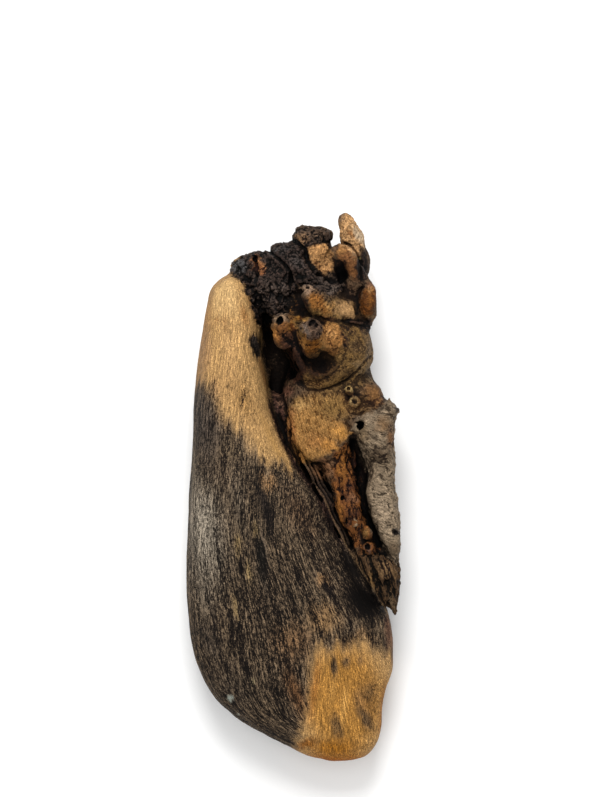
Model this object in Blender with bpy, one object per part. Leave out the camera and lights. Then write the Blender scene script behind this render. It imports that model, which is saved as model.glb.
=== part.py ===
"""Burl turning blank, one piece of root wood as it grew: a smooth paddle-shaped limb on the left and a
knotted burl on the right, with a deep cleft between them, bark at the crown, pruned stubs, a thin grey
flange down the right side and a splintered tail. It lies on its back, on a small flat.

+X is to the right, +Y towards the crown and +Z up, away from the flat. All lengths below are in
millimetres; MM turns them into metres."""

import math

import bmesh
import bpy
import numpy as np
from mathutils import Matrix, Vector, noise

MM = 0.001
NODE = "burl_blank"

# How fine the skin is
SKIN_VOXEL = 1.1
SKIN_SMOOTHING = 3
MOST_TRIANGLES = 11500
REST_HEIGHT = 2.6

# The limb: rows of y, left edge, right edge, low face, high face
LIMB_ROWS = (
    (106.0, -31.0, -27.4, 27.0, 33.0),
    (104.0, -35.4, -24.0, 20.0, 41.0),
    (99.0, -41.0, -20.8, 15.0, 46.0),
    (91.0, -43.0, -17.5, 11.0, 50.0),
    (80.0, -44.6, -15.8, 8.0, 53.0),
    (67.0, -46.4, -16.6, 6.0, 55.5),
    (54.0, -47.8, -13.2, 4.5, 57.5),
    (40.0, -49.3, -10.5, 3.0, 59.0),
    (26.0, -50.0, -5.5, 2.0, 60.0),
    (12.0, -51.0, 2.0, 1.2, 60.0),
    (-4.0, -52.4, 14.5, 0.8, 60.0),
    (-20.0, -53.2, 21.5, 0.8, 59.0),
    (-36.0, -54.0, 30.5, 1.0, 57.0),
    (-52.0, -54.0, 41.0, 2.0, 55.0),
    (-66.0, -52.6, 48.8, 3.5, 53.0),
    (-80.0, -50.6, 50.4, 5.5, 51.0),
    (-92.0, -46.8, 50.2, 7.0, 49.0),
    (-102.0, -42.4, 47.0, 8.5, 47.0),
    (-112.0, -34.4, 44.8, 10.0, 44.5),
    (-121.0, -22.6, 44.6, 11.5, 41.5),
    (-129.6, -6.0, 42.4, 13.5, 38.0),
    (-136.0, 7.0, 37.4, 16.5, 33.5),
    (-139.0, 16.0, 29.0, 21.0, 28.5),
)

# The burl's core, behind its boss, neck and tail
CORE_ROWS = (
    (119.0, 6.0, 32.0, 20.0, 34.0),
    (115.0, -2.0, 35.0, 14.0, 40.0),
    (104.0, -10.0, 36.4, 11.0, 44.0),
    (90.0, -10.0, 36.6, 9.0, 47.0),
    (75.0, -7.0, 38.0, 7.0, 48.0),
    (60.0, -5.0, 38.8, 6.0, 46.0),
    (50.0, -5.0, 42.0, 5.0, 47.5),
    (40.0, -4.0, 47.0, 5.0, 48.5),
    (26.0, -1.0, 49.0, 5.0, 48.0),
    (15.0, 1.0, 49.0, 5.0, 45.0),
    (8.0, 4.0, 49.0, 5.0, 38.0),
    (-8.0, 12.0, 50.0, 6.0, 36.0),
    (-26.0, 20.0, 51.0, 8.0, 36.0),
    (-42.0, 28.0, 50.5, 11.0, 36.0),
    (-54.0, 36.0, 48.0, 17.0, 33.0),
)

# The torn face of the neck, a raised plate with an edge below it
PLATE_ROWS = (
    (54.0, 2.0, 26.0, 36.0, 47.0),
    (48.0, -1.4, 36.0, 30.0, 49.5),
    (38.0, -3.4, 37.0, 30.0, 50.5),
    (28.0, -2.6, 34.0, 30.0, 50.5),
    (20.0, -0.8, 29.0, 30.0, 50.0),
    (14.6, 0.8, 22.5, 31.0, 49.5),
    (12.4, 1.8, 15.0, 34.0, 48.0),
)

# The web that joins limb and core behind the cleft
WEB_ROWS = (
    (98.0, -30.0, 10.0, 14.0, 20.0),
    (90.0, -34.0, 16.0, 10.0, 22.0),
    (60.0, -36.0, 22.0, 6.0, 20.0),
    (20.0, -36.0, 30.0, 3.0, 22.0),
    (-20.0, -30.0, 36.0, 3.0, 24.0),
    (-40.0, -20.0, 36.0, 6.0, 22.0),
)

# The grey flange that laps over the right side
FLANGE_ROWS = (
    (42.6, 45.0, 50.0, 38.0, 44.0),
    (40.2, 38.5, 52.0, 34.0, 50.0),
    (36.0, 31.5, 52.4, 32.0, 54.5),
    (31.0, 28.6, 50.4, 30.0, 56.0),
    (25.0, 31.0, 50.2, 29.0, 55.0),
    (15.0, 36.6, 50.6, 28.0, 53.0),
    (6.0, 38.2, 50.8, 27.0, 52.0),
    (-4.0, 36.4, 51.8, 26.0, 51.5),
    (-12.0, 38.2, 52.6, 26.0, 51.0),
    (-20.0, 40.6, 53.2, 27.0, 50.5),
    (-28.0, 44.4, 53.8, 29.0, 50.0),
    (-33.5, 48.4, 53.2, 34.0, 48.0),
    (-36.0, 50.6, 52.4, 38.0, 44.0),
)

# Openings from above: the cleft, and the hollow between rib and flange
CLEFT_ROWS = (
    (86.0, -14.5, -12.0, 30.0, 80.0),
    (79.0, -16.4, -9.5, 17.0, 80.0),
    (71.0, -16.2, -1.0, 13.0, 80.0),
    (61.5, -14.6, 0.0, 13.0, 80.0),
    (51.5, -13.2, -3.5, 14.0, 80.0),
    (44.0, -12.4, -4.5, 16.0, 80.0),
    (34.0, -9.0, -3.6, 18.0, 80.0),
    (24.0, -4.8, -0.4, 20.0, 80.0),
    (13.0, 1.6, 7.0, 20.0, 80.0),
    (4.0, 8.0, 15.5, 20.0, 80.0),
    (-3.5, 14.2, 19.0, 20.0, 80.0),
    (-11.0, 17.6, 21.5, 20.0, 80.0),
    (-19.0, 20.8, 25.6, 16.0, 80.0),
    (-26.0, 24.8, 30.6, 15.0, 80.0),
    (-32.0, 28.6, 31.6, 18.0, 80.0),
    (-36.5, 30.6, 31.8, 30.0, 80.0),
)
RIB_HOLLOW_ROWS = (
    (27.0, 27.6, 29.0, 44.0, 70.0),
    (20.0, 28.0, 32.4, 38.0, 70.0),
    (12.0, 30.4, 36.0, 33.0, 70.0),
    (4.0, 31.8, 37.6, 31.0, 70.0),
    (-5.0, 32.6, 36.4, 31.0, 70.0),
    (-13.5, 34.6, 38.6, 32.0, 70.0),
    (-22.0, 37.2, 41.4, 33.0, 70.0),
    (-30.0, 40.4, 45.0, 34.0, 70.0),
    (-35.6, 44.0, 51.0, 36.0, 70.0),
    (-39.0, 49.0, 52.6, 39.0, 70.0),
)

# Furrow along the back, under the cleft
FURROW_ROWS = (
    (112.0, -16.0, -10.0, -9.0, 12.0),
    (96.0, -20.0, -9.0, -9.0, 15.0),
    (72.0, -19.0, -7.0, -9.0, 13.0),
    (46.0, -14.0, -4.0, -9.0, 9.5),
    (20.0, 3.0, 9.0, -9.0, 7.0),
    (2.0, 12.0, 17.0, -9.0, 6.5),
    (-16.0, 22.0, 28.0, -9.0, 7.5),
    (-34.0, 32.0, 40.0, -9.0, 10.0),
    (-48.0, 40.0, 50.0, -9.0, 15.0),
)

# Smoothness of the sections: two is an ellipse, more is squarer
LIMB_SQUARENESS = 2.5
CORE_SQUARENESS = 2.3
PLATE_SQUARENESS = 3.6
FLANGE_SQUARENESS = 2.8
OPENING_SQUARENESS = 4.0
FURROW_SQUARENESS = 2.0

# Rounded masses: centre, radii, turn about Z in degrees
BURL_LUMPS = (
    # the boss that the stubs stand on
    ((15.0, 70.5, 38.0), (24.4, 25.0, 21.5), 0.0),
    # its right shoulder
    ((32.0, 70.0, 37.0), (8.0, 16.0, 14.0), 4.0),
    # collar of the central stub
    ((14.0, 70.0, 53.0), (10.5, 10.0, 10.0), 0.0),
    # foot of the ribbed stub
    ((20.5, 88.6, 46.0), (13.0, 8.6, 11.5), -32.0),
    # bulge beside the central stub
    ((18.6, 75.6, 51.5), (12.0, 7.6, 10.5), -48.0),
    # foot of the small stub
    ((1.0, 75.0, 47.0), (9.0, 8.0, 9.0), 30.0),
    # stepped ledge between cleft and neck
    ((-4.0, 36.0, 30.0), (4.4, 17.0, 9.0), 6.0),
    # lip at the cleft's head
    ((-4.5, 48.0, 32.0), (6.5, 4.5, 9.0), -14.0),
    # neck's right shoulder
    ((37.6, 44.6, 38.0), (8.0, 8.0, 9.0), 40.0),
    # knots of the rib
    ((24.6, 3.0, 40.0), (6.4, 8.0, 7.6), -20.0),
    ((31.0, -18.0, 41.5), (6.6, 7.0, 8.0), 0.0),
    ((38.0, -32.0, 41.0), (6.6, 8.0, 8.0), 30.0),
)
BARK_LUMPS = (
    ((-26.4, 109.6, 30.0), (5.6, 6.0, 9.0), 0.0),
    ((-17.8, 112.0, 34.0), (5.4, 7.0, 9.0), 20.0),
    ((-20.0, 106.0, 31.0), (8.0, 6.6, 10.0), 0.0),
    ((-4.6, 115.0, 34.0), (9.0, 7.6, 12.0), -15.0),
    ((-1.0, 110.0, 41.0), (13.0, 8.0, 11.0), -35.0),
    ((9.0, 103.0, 45.0), (12.0, 6.5, 8.0), -40.0),
    ((18.5, 98.0, 47.0), (9.0, 4.6, 6.0), -22.0),
    ((9.6, 124.8, 36.0), (12.0, 6.0, 10.0), -3.0),
    ((10.0, 118.0, 38.0), (10.0, 7.5, 9.0), 0.0),
    ((-13.0, 101.0, 40.0), (10.0, 9.0, 12.0), 30.0),
    ((-7.5, 91.0, 36.0), (8.0, 9.0, 12.0), 0.0),
    ((-18.0, 98.0, 29.0), (6.0, 8.0, 11.0), 0.0),
    ((-2.0, 99.0, 40.0), (9.0, 7.0, 10.0), 20.0),
)

# Stubs and ribs: points of the centre line, then the radius at each
STUBS = (
    # broad pointed stub at the crown
    (((31.0, 106.0, 32.0), (30.4, 115.0, 37.0), (29.0, 124.0, 41.0), (26.2, 133.6, 43.0)), (8.4, 7.6, 6.2, 3.8)),
    # brown stub in front of it
    (((33.0, 97.0, 42.0), (30.6, 106.0, 48.0), (26.0, 114.0, 53.0), (22.6, 117.0, 55.0)), (6.4, 5.8, 5.6, 4.6)),
    # bare stub at the right edge
    (((33.0, 81.0, 38.0), (35.4, 87.0, 44.0), (37.4, 94.0, 47.0), (38.2, 100.0, 48.0)), (7.4, 6.0, 4.6, 3.0)),
    # ribbed stub
    (((20.0, 83.0, 48.0), (15.0, 89.0, 56.0), (9.0, 94.5, 62.0), (5.6, 97.0, 65.0)), (10.0, 8.0, 5.8, 4.3)),
    # small stub over the cleft, its end bored
    (((5.0, 71.0, 44.0), (-1.0, 76.5, 52.0), (-4.4, 79.6, 57.0), (-6.2, 81.4, 59.5)), (9.6, 8.0, 6.2, 4.8)),
    # central stub, towards the viewer
    (((13.0, 68.0, 50.0), (11.4, 72.4, 58.0), (9.6, 76.8, 64.0), (8.8, 78.8, 67.5)), (9.0, 7.6, 6.4, 5.9)),
    # column behind the brown stub
    (((32.0, 84.0, 30.0), (31.0, 100.0, 36.0), (30.4, 112.0, 37.0)), (6.4, 6.2, 5.4)),
    # knotted rib down the tail
    (((20.0, 15.0, 37.0), (25.0, 2.0, 41.0), (29.4, -14.0, 43.0), (35.0, -30.0, 44.0), (42.0, -46.0, 43.0)),
     (8.0, 7.2, 7.0, 7.6, 7.4)),
)

# Splinters of the torn tail and flange: root, tip, root radius
SPLINTERS = (
    ((46.4, -44.0, 39.0), (51.4, -67.0, 41.0), 7.0),
    ((47.6, -38.0, 41.0), (52.8, -54.6, 42.0), 5.4),
    ((39.0, -42.0, 44.0), (43.0, -60.0, 46.0), 5.0),
    ((44.0, -36.0, 44.0), (46.6, -53.0, 48.0), 4.6),
    ((48.0, -30.0, 39.0), (52.6, -46.0, 38.0), 6.0),
    ((42.0, -42.0, 41.0), (46.4, -63.0, 42.0), 6.4),
    ((36.0, -30.0, 46.0), (38.4, -46.0, 49.0), 4.0),
    ((46.0, 37.0, 45.0), (48.4, 45.0, 47.0), 2.6),
    ((49.0, 35.0, 44.0), (52.4, 41.0, 46.0), 3.0),
)

# Small hollows: centre, radii, turn about Z in degrees. The late ones go through the flange too
HOLLOWS = (
    # beneath the brown stub
    ((23.6, 106.0, 56.0), (3.4, 6.6, 13.0), 25.0),
    # below the central stub
    ((13.2, 61.8, 60.5), (9.4, 6.2, 10.5), -8.0),
    # between ribbed stub and small stub
    ((5.0, 87.0, 62.0), (2.4, 5.0, 9.0), -8.0),
    # under the bark edge
    ((12.0, 106.5, 60.0), (6.0, 3.0, 8.0), -35.0),
    # crease under the bare stub
    ((31.0, 81.6, 53.0), (8.4, 2.7, 9.0), -10.0),
    # around the cut twigs
    ((29.6, 44.0, 52.0), (3.6, 5.4, 5.0), -15.0),
    # behind the crown stub
    ((20.4, 125.5, 52.0), (2.4, 5.0, 11.0), 0.0),
    # front of the ribbed stub
    ((4.6, 91.5, 66.0), (3.4, 6.0, 9.0), 10.0),
)
LATE_HOLLOWS = (
    # insect bore at the flange's head
    ((33.0, 31.6, 54.0), (2.1, 2.7, 8.0), 0.0),
    # socket of the cut twig
    ((30.2, 43.0, 53.5), (3.4, 3.4, 5.0), 0.0),
    # bored end of the small stub
    ((-7.6, 83.4, 64.0), (2.0, 2.6, 5.0), 20.0),
)

# Relief: distance between its bumps and their height
LIMB_RELIEF = (26.0, 1.0)
BURL_RELIEF = (9.0, 1.2)
BARK_PLATES = (5.2, 2.4)


def spaced(rows, steps=5):
    """The rows with extra ones between them, on a smooth curve through them."""
    table = np.array(rows, float)
    padded = np.vstack([2 * table[0] - table[1], table, 2 * table[-1] - table[-2]])
    filled = []
    for index in range(len(table) - 1):
        a, b, c, d = padded[index : index + 4]
        for step in range(steps):
            t = step / steps
            filled.append(
                0.5 * (2 * b + (c - a) * t + (2 * a - 5 * b + 4 * c - d) * t**2 + (3 * b - a - 3 * c + d) * t**3)
            )
    return filled + [table[-1]]


def new_object(name, shape):
    mesh = bpy.data.meshes.new(name)
    shape.to_mesh(mesh)
    shape.free()
    obj = bpy.data.objects.new(name, mesh)
    bpy.context.scene.collection.objects.link(obj)
    return obj


def skinned(name, rings):
    """A closed object through rings of points, each with the same count."""
    shape = bmesh.new()
    loops = [[shape.verts.new(point) for point in ring] for ring in rings]
    count = len(loops[0])
    for first, second in zip(loops, loops[1:]):
        for k in range(count):
            shape.faces.new((first[k], first[(k + 1) % count], second[(k + 1) % count], second[k]))
    shape.faces.new(loops[0])
    shape.faces.new(loops[-1])
    bmesh.ops.recalc_face_normals(shape, faces=shape.faces)
    return new_object(name, shape)


def slab(name, rows, squareness, sides=48):
    """A body whose sections across Y are rounded rectangles."""
    power = 2 / squareness
    rings = []
    for y, left, right, low, high in spaced(rows):
        ring = []
        for k in range(sides):
            angle = 2 * math.pi * k / sides
            across = math.copysign(abs(math.cos(angle)) ** power, math.cos(angle))
            up = math.copysign(abs(math.sin(angle)) ** power, math.sin(angle))
            x = (left + right) / 2 + across * (right - left) / 2
            z = (low + high) / 2 + up * (high - low) / 2
            ring.append(Vector((x, y, z)) * MM)
        rings.append(ring)
    return skinned(name, rings)


def stub(name, points, radii, sides=20):
    """A round tapering branch along its centre line, with a domed tip."""
    rows = spaced([(*point, radius) for point, radius in zip(points, radii)])
    centres = [Vector(row[:3]) for row in rows]
    widths = [row[3] for row in rows]
    end, end_width = centres[-1], widths[-1]
    way = (centres[-1] - centres[-2]).normalized()
    for rise, share in ((0.4, 0.88), (0.68, 0.6), (0.8, 0.2)):
        centres.append(end + way * end_width * rise)
        widths.append(end_width * share)
    rings = []
    for index, (centre, width) in enumerate(zip(centres, widths)):
        before, after = centres[max(index - 1, 0)], centres[min(index + 1, len(centres) - 1)]
        turn = (after - before).to_track_quat("Z", "Y")
        angles = [2 * math.pi * k / sides for k in range(sides)]
        rings.append([(centre + turn @ Vector((math.cos(a), math.sin(a), 0)) * width) * MM for a in angles])
    return skinned(name, rings)


def splinter(name, root, tip, radius):
    """A pointed sliver of torn wood."""
    root, tip = Vector(root), Vector(tip)
    return stub(name, (root, root.lerp(tip, 0.6), tip), (radius, radius * 0.5, 0.4), sides=8)


def lump(name, centre, radii, turn):
    """A stretched ball."""
    shape = bmesh.new()
    bmesh.ops.create_icosphere(shape, subdivisions=4, radius=1.0)
    size = Matrix.Diagonal((*(Vector(radii) * MM), 1.0))
    place = Matrix.Translation(Vector(centre) * MM)
    shape.transform(place @ Matrix.Rotation(math.radians(turn), 4, "Z") @ size)
    return new_object(name, shape)


def lumps(name, forms):
    return [lump(f"{name}_{k}", *form) for k, form in enumerate(forms)]


def grown_masses():
    """Every mass that the wood is grown together from."""
    masses = [
        slab("limb", LIMB_ROWS, LIMB_SQUARENESS),
        slab("core", CORE_ROWS, CORE_SQUARENESS),
        slab("plate", PLATE_ROWS, PLATE_SQUARENESS),
        slab("web", WEB_ROWS, CORE_SQUARENESS),
    ]
    masses += lumps("burl", BURL_LUMPS) + lumps("bark", BARK_LUMPS)
    masses += [stub(f"stub_{k}", *form) for k, form in enumerate(STUBS)]
    return masses


def late_masses():
    """The parts that stand over the hollows."""
    flange = slab("flange", FLANGE_ROWS, FLANGE_SQUARENESS)
    return [flange] + [splinter(f"splinter_{k}", *form) for k, form in enumerate(SPLINTERS)]


def openings():
    """Everything that is open from above, and the furrow below."""
    cleft = slab("cleft", CLEFT_ROWS, OPENING_SQUARENESS)
    rib_hollow = slab("rib_hollow", RIB_HOLLOW_ROWS, OPENING_SQUARENESS)
    furrow = slab("furrow", FURROW_ROWS, FURROW_SQUARENESS)
    return [cleft, rib_hollow, furrow] + lumps("hollow", HOLLOWS)


def boolean_all(body, others, operation):
    """Joins all the others to the body, or cuts them out of it, and removes them."""
    group = bpy.data.collections.new(operation.lower())
    bpy.context.scene.collection.children.link(group)
    for other in others:
        bpy.context.scene.collection.objects.unlink(other)
        group.objects.link(other)
    step = body.modifiers.new(operation.lower(), "BOOLEAN")
    step.operand_type = "COLLECTION"
    step.collection = group
    step.operation = operation
    step.solver = "MANIFOLD"
    apply_modifier(body, step)
    for other in others:
        bpy.data.objects.remove(other)
    bpy.data.collections.remove(group)


def apply_modifier(body, step):
    with bpy.context.temp_override(object=body, active_object=body):
        bpy.ops.object.modifier_apply(modifier=step.name)


def even_skin(body, smoothing):
    """One even skin over the joined masses, with their creases eased."""
    step = body.modifiers.new("skin", "REMESH")
    step.mode = "VOXEL"
    step.voxel_size = SKIN_VOXEL * MM
    apply_modifier(body, step)
    if smoothing:
        step = body.modifiers.new("ease", "SMOOTH")
        step.factor = 0.5
        step.iterations = smoothing
        apply_modifier(body, step)


def near_lump(point, forms, reach):
    """One inside any of the stretched balls, falling to nought at the reach outside them."""
    most = 0.0
    for centre, radii, turn in forms:
        away = Matrix.Rotation(-math.radians(turn), 3, "Z") @ (point - Vector(centre))
        scaled = Vector((away.x / radii[0], away.y / radii[1], away.z / radii[2]))
        distance = (scaled.length - 1) * min(radii)
        most = max(most, 1 - distance / reach)
    return min(max(most, 0.0), 1.0)


def limb_edge(y):
    """The limb's right edge at a height y."""
    rows = LIMB_ROWS[::-1]
    return float(np.interp(y, [row[0] for row in rows], [row[2] for row in rows]))


def bumps(point, spacing, height):
    """Rounded bumps with finer ones on them."""
    coarse = noise.noise(point / spacing)
    fine = noise.noise(point * 2.3 / spacing + Vector((7, 3, 5)))
    return height * (coarse + 0.45 * fine)


def plates(point, spacing, height):
    """Angular scales with furrows between them."""
    warp = noise.noise_vector(point / 6) * 1.6
    nearest, next_nearest = noise.voronoi((point + warp) / spacing)[0][:2]
    furrow = min((next_nearest - nearest) / 0.35, 1.0)
    return height * (0.9 * furrow - 0.75 + 0.6 * noise.noise(point / 3))


def relief_at(point):
    """How far the skin stands out or in at a point."""
    on_limb = min(max((limb_edge(point.y) + 2 - point.x) / 4, 0.0), 1.0)
    in_bark = near_lump(point, BARK_LUMPS, 3.0)
    on_burl = 1 - max(on_limb, in_bark)
    limb = bumps(Vector((point.x, point.y / 3, point.z)), *LIMB_RELIEF)
    limb += 0.35 * noise.noise(Vector((point.x / 5 + point.y / 60, point.y / 40, point.z / 5)))
    burl = bumps(point, *BURL_RELIEF)
    return on_limb * (1 - in_bark) * limb + in_bark * plates(point, *BARK_PLATES) + on_burl * burl


def roughen(body):
    """Bumps over the whole skin: coarse and low on the limb, close and high on the bark."""
    shape = bmesh.new()
    shape.from_mesh(body.data)
    shape.normal_update()
    moves = [vertex.normal * relief_at(vertex.co / MM) * MM for vertex in shape.verts]
    for vertex, move in zip(shape.verts, moves):
        vertex.co += move
    shape.to_mesh(body.data)
    shape.free()


def thinned(body):
    """The skin with fewer triangles, most of them left where it bends."""
    body.data.calc_loop_triangles()
    step = body.modifiers.new("thin", "DECIMATE")
    step.ratio = MOST_TRIANGLES / len(body.data.loop_triangles)
    step.use_collapse_triangulate = True
    apply_modifier(body, step)


def flatten_rest(body):
    """Cuts the flat that it lies on, and puts the origin under the middle of the blank."""
    shape = bmesh.new()
    shape.from_mesh(body.data)
    level = Vector((0, 0, REST_HEIGHT * MM))
    everything = shape.verts[:] + shape.edges[:] + shape.faces[:]
    bmesh.ops.bisect_plane(shape, geom=everything, plane_co=level, plane_no=(0, 0, 1), clear_inner=True)
    rim = [edge for edge in shape.edges if edge.is_boundary]
    bmesh.ops.holes_fill(shape, edges=rim, sides=0)
    corners = np.array([vertex.co for vertex in shape.verts])
    low, high = corners.min(axis=0), corners.max(axis=0)
    middle = Vector(((low[0] + high[0]) / 2, (low[1] + high[1]) / 2, low[2]))
    bmesh.ops.translate(shape, verts=shape.verts, vec=-middle)
    bmesh.ops.triangulate(shape, faces=shape.faces)
    shape.to_mesh(body.data)
    shape.free()


def wood_material():
    material = bpy.data.materials.new("burl_wood")
    material.use_nodes = True
    surface = material.node_tree.nodes["Principled BSDF"]
    surface.inputs["Base Color"].default_value = (0.30, 0.17, 0.08, 1.0)
    surface.inputs["Roughness"].default_value = 0.55
    surface.inputs["Metallic"].default_value = 0.0
    return material


def main():
    for obj in list(bpy.data.objects):
        bpy.data.objects.remove(obj)
    body, *others = grown_masses()
    body.name = NODE
    boolean_all(body, others, "UNION")
    even_skin(body, SKIN_SMOOTHING)
    boolean_all(body, openings(), "DIFFERENCE")
    boolean_all(body, late_masses(), "UNION")
    even_skin(body, 2)
    boolean_all(body, lumps("bore", LATE_HOLLOWS), "DIFFERENCE")
    roughen(body)
    even_skin(body, 0)
    thinned(body)
    flatten_rest(body)
    body.data.materials.append(wood_material())
    body.data.shade_smooth()


main()
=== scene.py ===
"""Dresses the burl blank: bare limb, knotted burl, bark, cut twigs, flange and torn tail.

The outlines of marks and regions are drawn on the front view, in half millimetres across and down from
its upper left corner. Everything else is in millimetres in the part's own frame."""

import math

import bpy
import numpy as np
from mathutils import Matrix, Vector
from mathutils.bvhtree import BVHTree


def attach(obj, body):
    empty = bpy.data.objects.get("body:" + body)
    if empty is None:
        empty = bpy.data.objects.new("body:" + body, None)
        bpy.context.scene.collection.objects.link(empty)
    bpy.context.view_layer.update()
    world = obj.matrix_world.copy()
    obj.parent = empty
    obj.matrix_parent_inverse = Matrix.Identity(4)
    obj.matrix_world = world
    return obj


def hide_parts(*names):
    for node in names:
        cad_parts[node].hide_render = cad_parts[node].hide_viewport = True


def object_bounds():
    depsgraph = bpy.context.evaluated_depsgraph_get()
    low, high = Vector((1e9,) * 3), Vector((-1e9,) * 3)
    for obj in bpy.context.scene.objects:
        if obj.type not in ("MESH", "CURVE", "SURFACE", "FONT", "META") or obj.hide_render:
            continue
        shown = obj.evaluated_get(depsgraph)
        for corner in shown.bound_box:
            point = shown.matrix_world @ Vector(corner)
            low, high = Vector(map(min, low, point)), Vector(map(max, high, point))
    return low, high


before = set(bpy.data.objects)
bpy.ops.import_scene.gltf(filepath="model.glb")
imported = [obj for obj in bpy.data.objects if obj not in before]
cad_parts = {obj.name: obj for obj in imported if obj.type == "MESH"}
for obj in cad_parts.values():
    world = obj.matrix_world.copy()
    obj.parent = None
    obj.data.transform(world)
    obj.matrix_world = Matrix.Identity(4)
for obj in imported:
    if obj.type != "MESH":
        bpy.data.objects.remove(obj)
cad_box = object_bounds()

MM = 0.001
NODE = "burl_blank"

# The front view: its camera, and where its frame's middle falls on the part
VIEW_LENS = 150.0
VIEW_SENSOR = 36.0
VIEW_WIDE, VIEW_HIGH = 600, 797
VIEW_MIDDLE = (3.25, 45.0)
VIEW_PLANE = 35.0
HALF_MM = 0.5
VIEW_DISTANCE = VIEW_LENS / VIEW_SENSOR * VIEW_HIGH * HALF_MM

# The limb: y, left edge, right edge, low face, high face
LIMB_ROWS = (
    (106.0, -31.0, -27.4, 27.0, 33.0), (104.0, -35.4, -24.0, 20.0, 41.0), (99.0, -41.0, -20.8, 15.0, 46.0),
    (91.0, -43.0, -17.5, 11.0, 50.0), (80.0, -44.6, -15.8, 8.0, 53.0), (67.0, -46.4, -16.6, 6.0, 55.5),
    (54.0, -47.8, -13.2, 4.5, 57.5), (40.0, -49.3, -10.5, 3.0, 59.0), (26.0, -50.0, -5.5, 2.0, 60.0),
    (12.0, -51.0, 2.0, 1.2, 60.0), (-4.0, -52.4, 14.5, 0.8, 60.0), (-20.0, -53.2, 21.5, 0.8, 59.0),
    (-36.0, -54.0, 30.5, 1.0, 57.0), (-52.0, -54.0, 41.0, 2.0, 55.0), (-66.0, -52.6, 48.8, 3.5, 53.0),
    (-80.0, -50.6, 50.4, 5.5, 51.0), (-92.0, -46.8, 50.2, 7.0, 49.0), (-102.0, -42.4, 47.0, 8.5, 47.0),
    (-112.0, -34.4, 44.8, 10.0, 44.5), (-121.0, -22.6, 44.6, 11.5, 41.5), (-129.6, -6.0, 42.4, 13.5, 38.0),
    (-136.0, 7.0, 37.4, 16.5, 33.5), (-139.0, 16.0, 29.0, 21.0, 28.5),
)

# Sizes of the skin's steps
FIRST_VOXEL = 0.9
SECOND_VOXEL = 0.7
LAST_VOXEL = 0.58
MOST_TRIANGLES = 196000

# How far the wood stays inside the CAD model's box, on its sides, at its ends, and below and above
BOX_MARGIN = np.array((0.03, 0.03, 0.0))

# Points nearer than this are one point: in a strand, and in the node's mesh
SAME_PLACE = 0.001
NODE_WELD = 0.01

# Share of a post's radius that its edges are rounded by
POST_ROUNDING = 0.18

# Heights from which the skin is looked for, and taken where there is none
ABOVE_ALL = 90.0
DEEP_DOWN = 20.0


# --- numbers over many points at once


def smooth_step(low, high, value):
    """From 0 at low to 1 at high, with soft ends."""
    t = np.clip((value - low) / (high - low), 0.0, 1.0)
    return t * t * (3 - 2 * t)


def blend(a, b, share):
    """A where the share is 0, b where it is 1."""
    return a * (1 - share) + b * share


CORNERS = np.array([(i, j, k) for i in (0, 1) for j in (0, 1) for k in (0, 1)])
SLOPES = np.random.RandomState(4).normal(size=(256, 3))
SLOPES /= np.linalg.norm(SLOPES, axis=1)[:, None]


def scrambled(cells, seed):
    """A whole number that looks random for each cell."""
    mixed = (cells[..., 0] * 73856093) ^ (cells[..., 1] * 19349663) ^ (cells[..., 2] * 83492791)
    mixed ^= seed * 2654435
    mixed &= 0xFFFFFFFF
    mixed = ((mixed ^ (mixed >> 15)) * 739982445) & 0xFFFFFFFF
    mixed = ((mixed ^ (mixed >> 12)) * 695872825) & 0xFFFFFFFF
    return mixed ^ (mixed >> 15)


def bumps(points, spacing, seed=0):
    """Soft random bumps between about -1 and 1, that far apart."""
    places = points / np.asarray(spacing, float)
    cells = np.floor(places).astype(np.int64)
    within = places - cells
    ease = within**3 * (within * (within * 6 - 15) + 10)
    total = np.zeros(len(points))
    for corner in CORNERS:
        slope = SLOPES[scrambled(cells + corner, seed) & 255]
        weight = np.prod(np.where(corner, ease, 1 - ease), axis=1)
        total += weight * np.einsum("ij,ij->i", within - corner, slope)
    return total * 1.7


def rough(points, spacing, seed=0, layers=3, fall=0.55):
    """Bumps with ever finer bumps on them."""
    spacing = np.asarray(spacing, float)
    total = np.zeros(len(points))
    for layer in range(layers):
        total += bumps(points, spacing / 2.1**layer, seed + 7 * layer) * fall**layer
    return total


def scales(points, spacing, seed=0):
    """Distance to the nearest seam between random cells, and a random number for each cell."""
    places = points / np.asarray(spacing, float)
    cells = np.floor(places).astype(np.int64)
    nearest = np.full(len(points), 9.0)
    second = np.full(len(points), 9.0)
    pick = np.zeros(len(points))
    for i in (-1, 0, 1):
        for j in (-1, 0, 1):
            for k in (-1, 0, 1):
                cell = cells + (i, j, k)
                number = scrambled(cell, seed)
                parts = [number & 255, (number >> 8) & 255, (number >> 16) & 255]
                heart = cell + np.stack(parts, axis=1) / 255.0
                away = np.linalg.norm(heart - places, axis=1)
                closer = away < nearest
                second = np.where(closer, nearest, np.minimum(second, away))
                pick = np.where(closer, ((number >> 24) & 255) / 255.0, pick)
                nearest = np.minimum(nearest, away)
    return second - nearest, pick


def front_view(points):
    """Where points in millimetres stand on the front view."""
    reach = VIEW_DISTANCE + VIEW_PLANE - points[:, 2]
    grow = VIEW_DISTANCE / reach / HALF_MM
    across = VIEW_WIDE / 2 + (points[:, 0] - VIEW_MIDDLE[0]) * grow
    down = VIEW_HIGH / 2 - (points[:, 1] - VIEW_MIDDLE[1]) * grow
    return np.stack([across, down], axis=1)


def on_part(across, down, z):
    """The point in millimetres at a height z that stands at that place on the front view."""
    shrink = (VIEW_DISTANCE + VIEW_PLANE - z) / VIEW_DISTANCE * HALF_MM
    x = VIEW_MIDDLE[0] + (across - VIEW_WIDE / 2) * shrink
    y = VIEW_MIDDLE[1] - (down - VIEW_HIGH / 2) * shrink
    return Vector((x, y, z))


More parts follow.
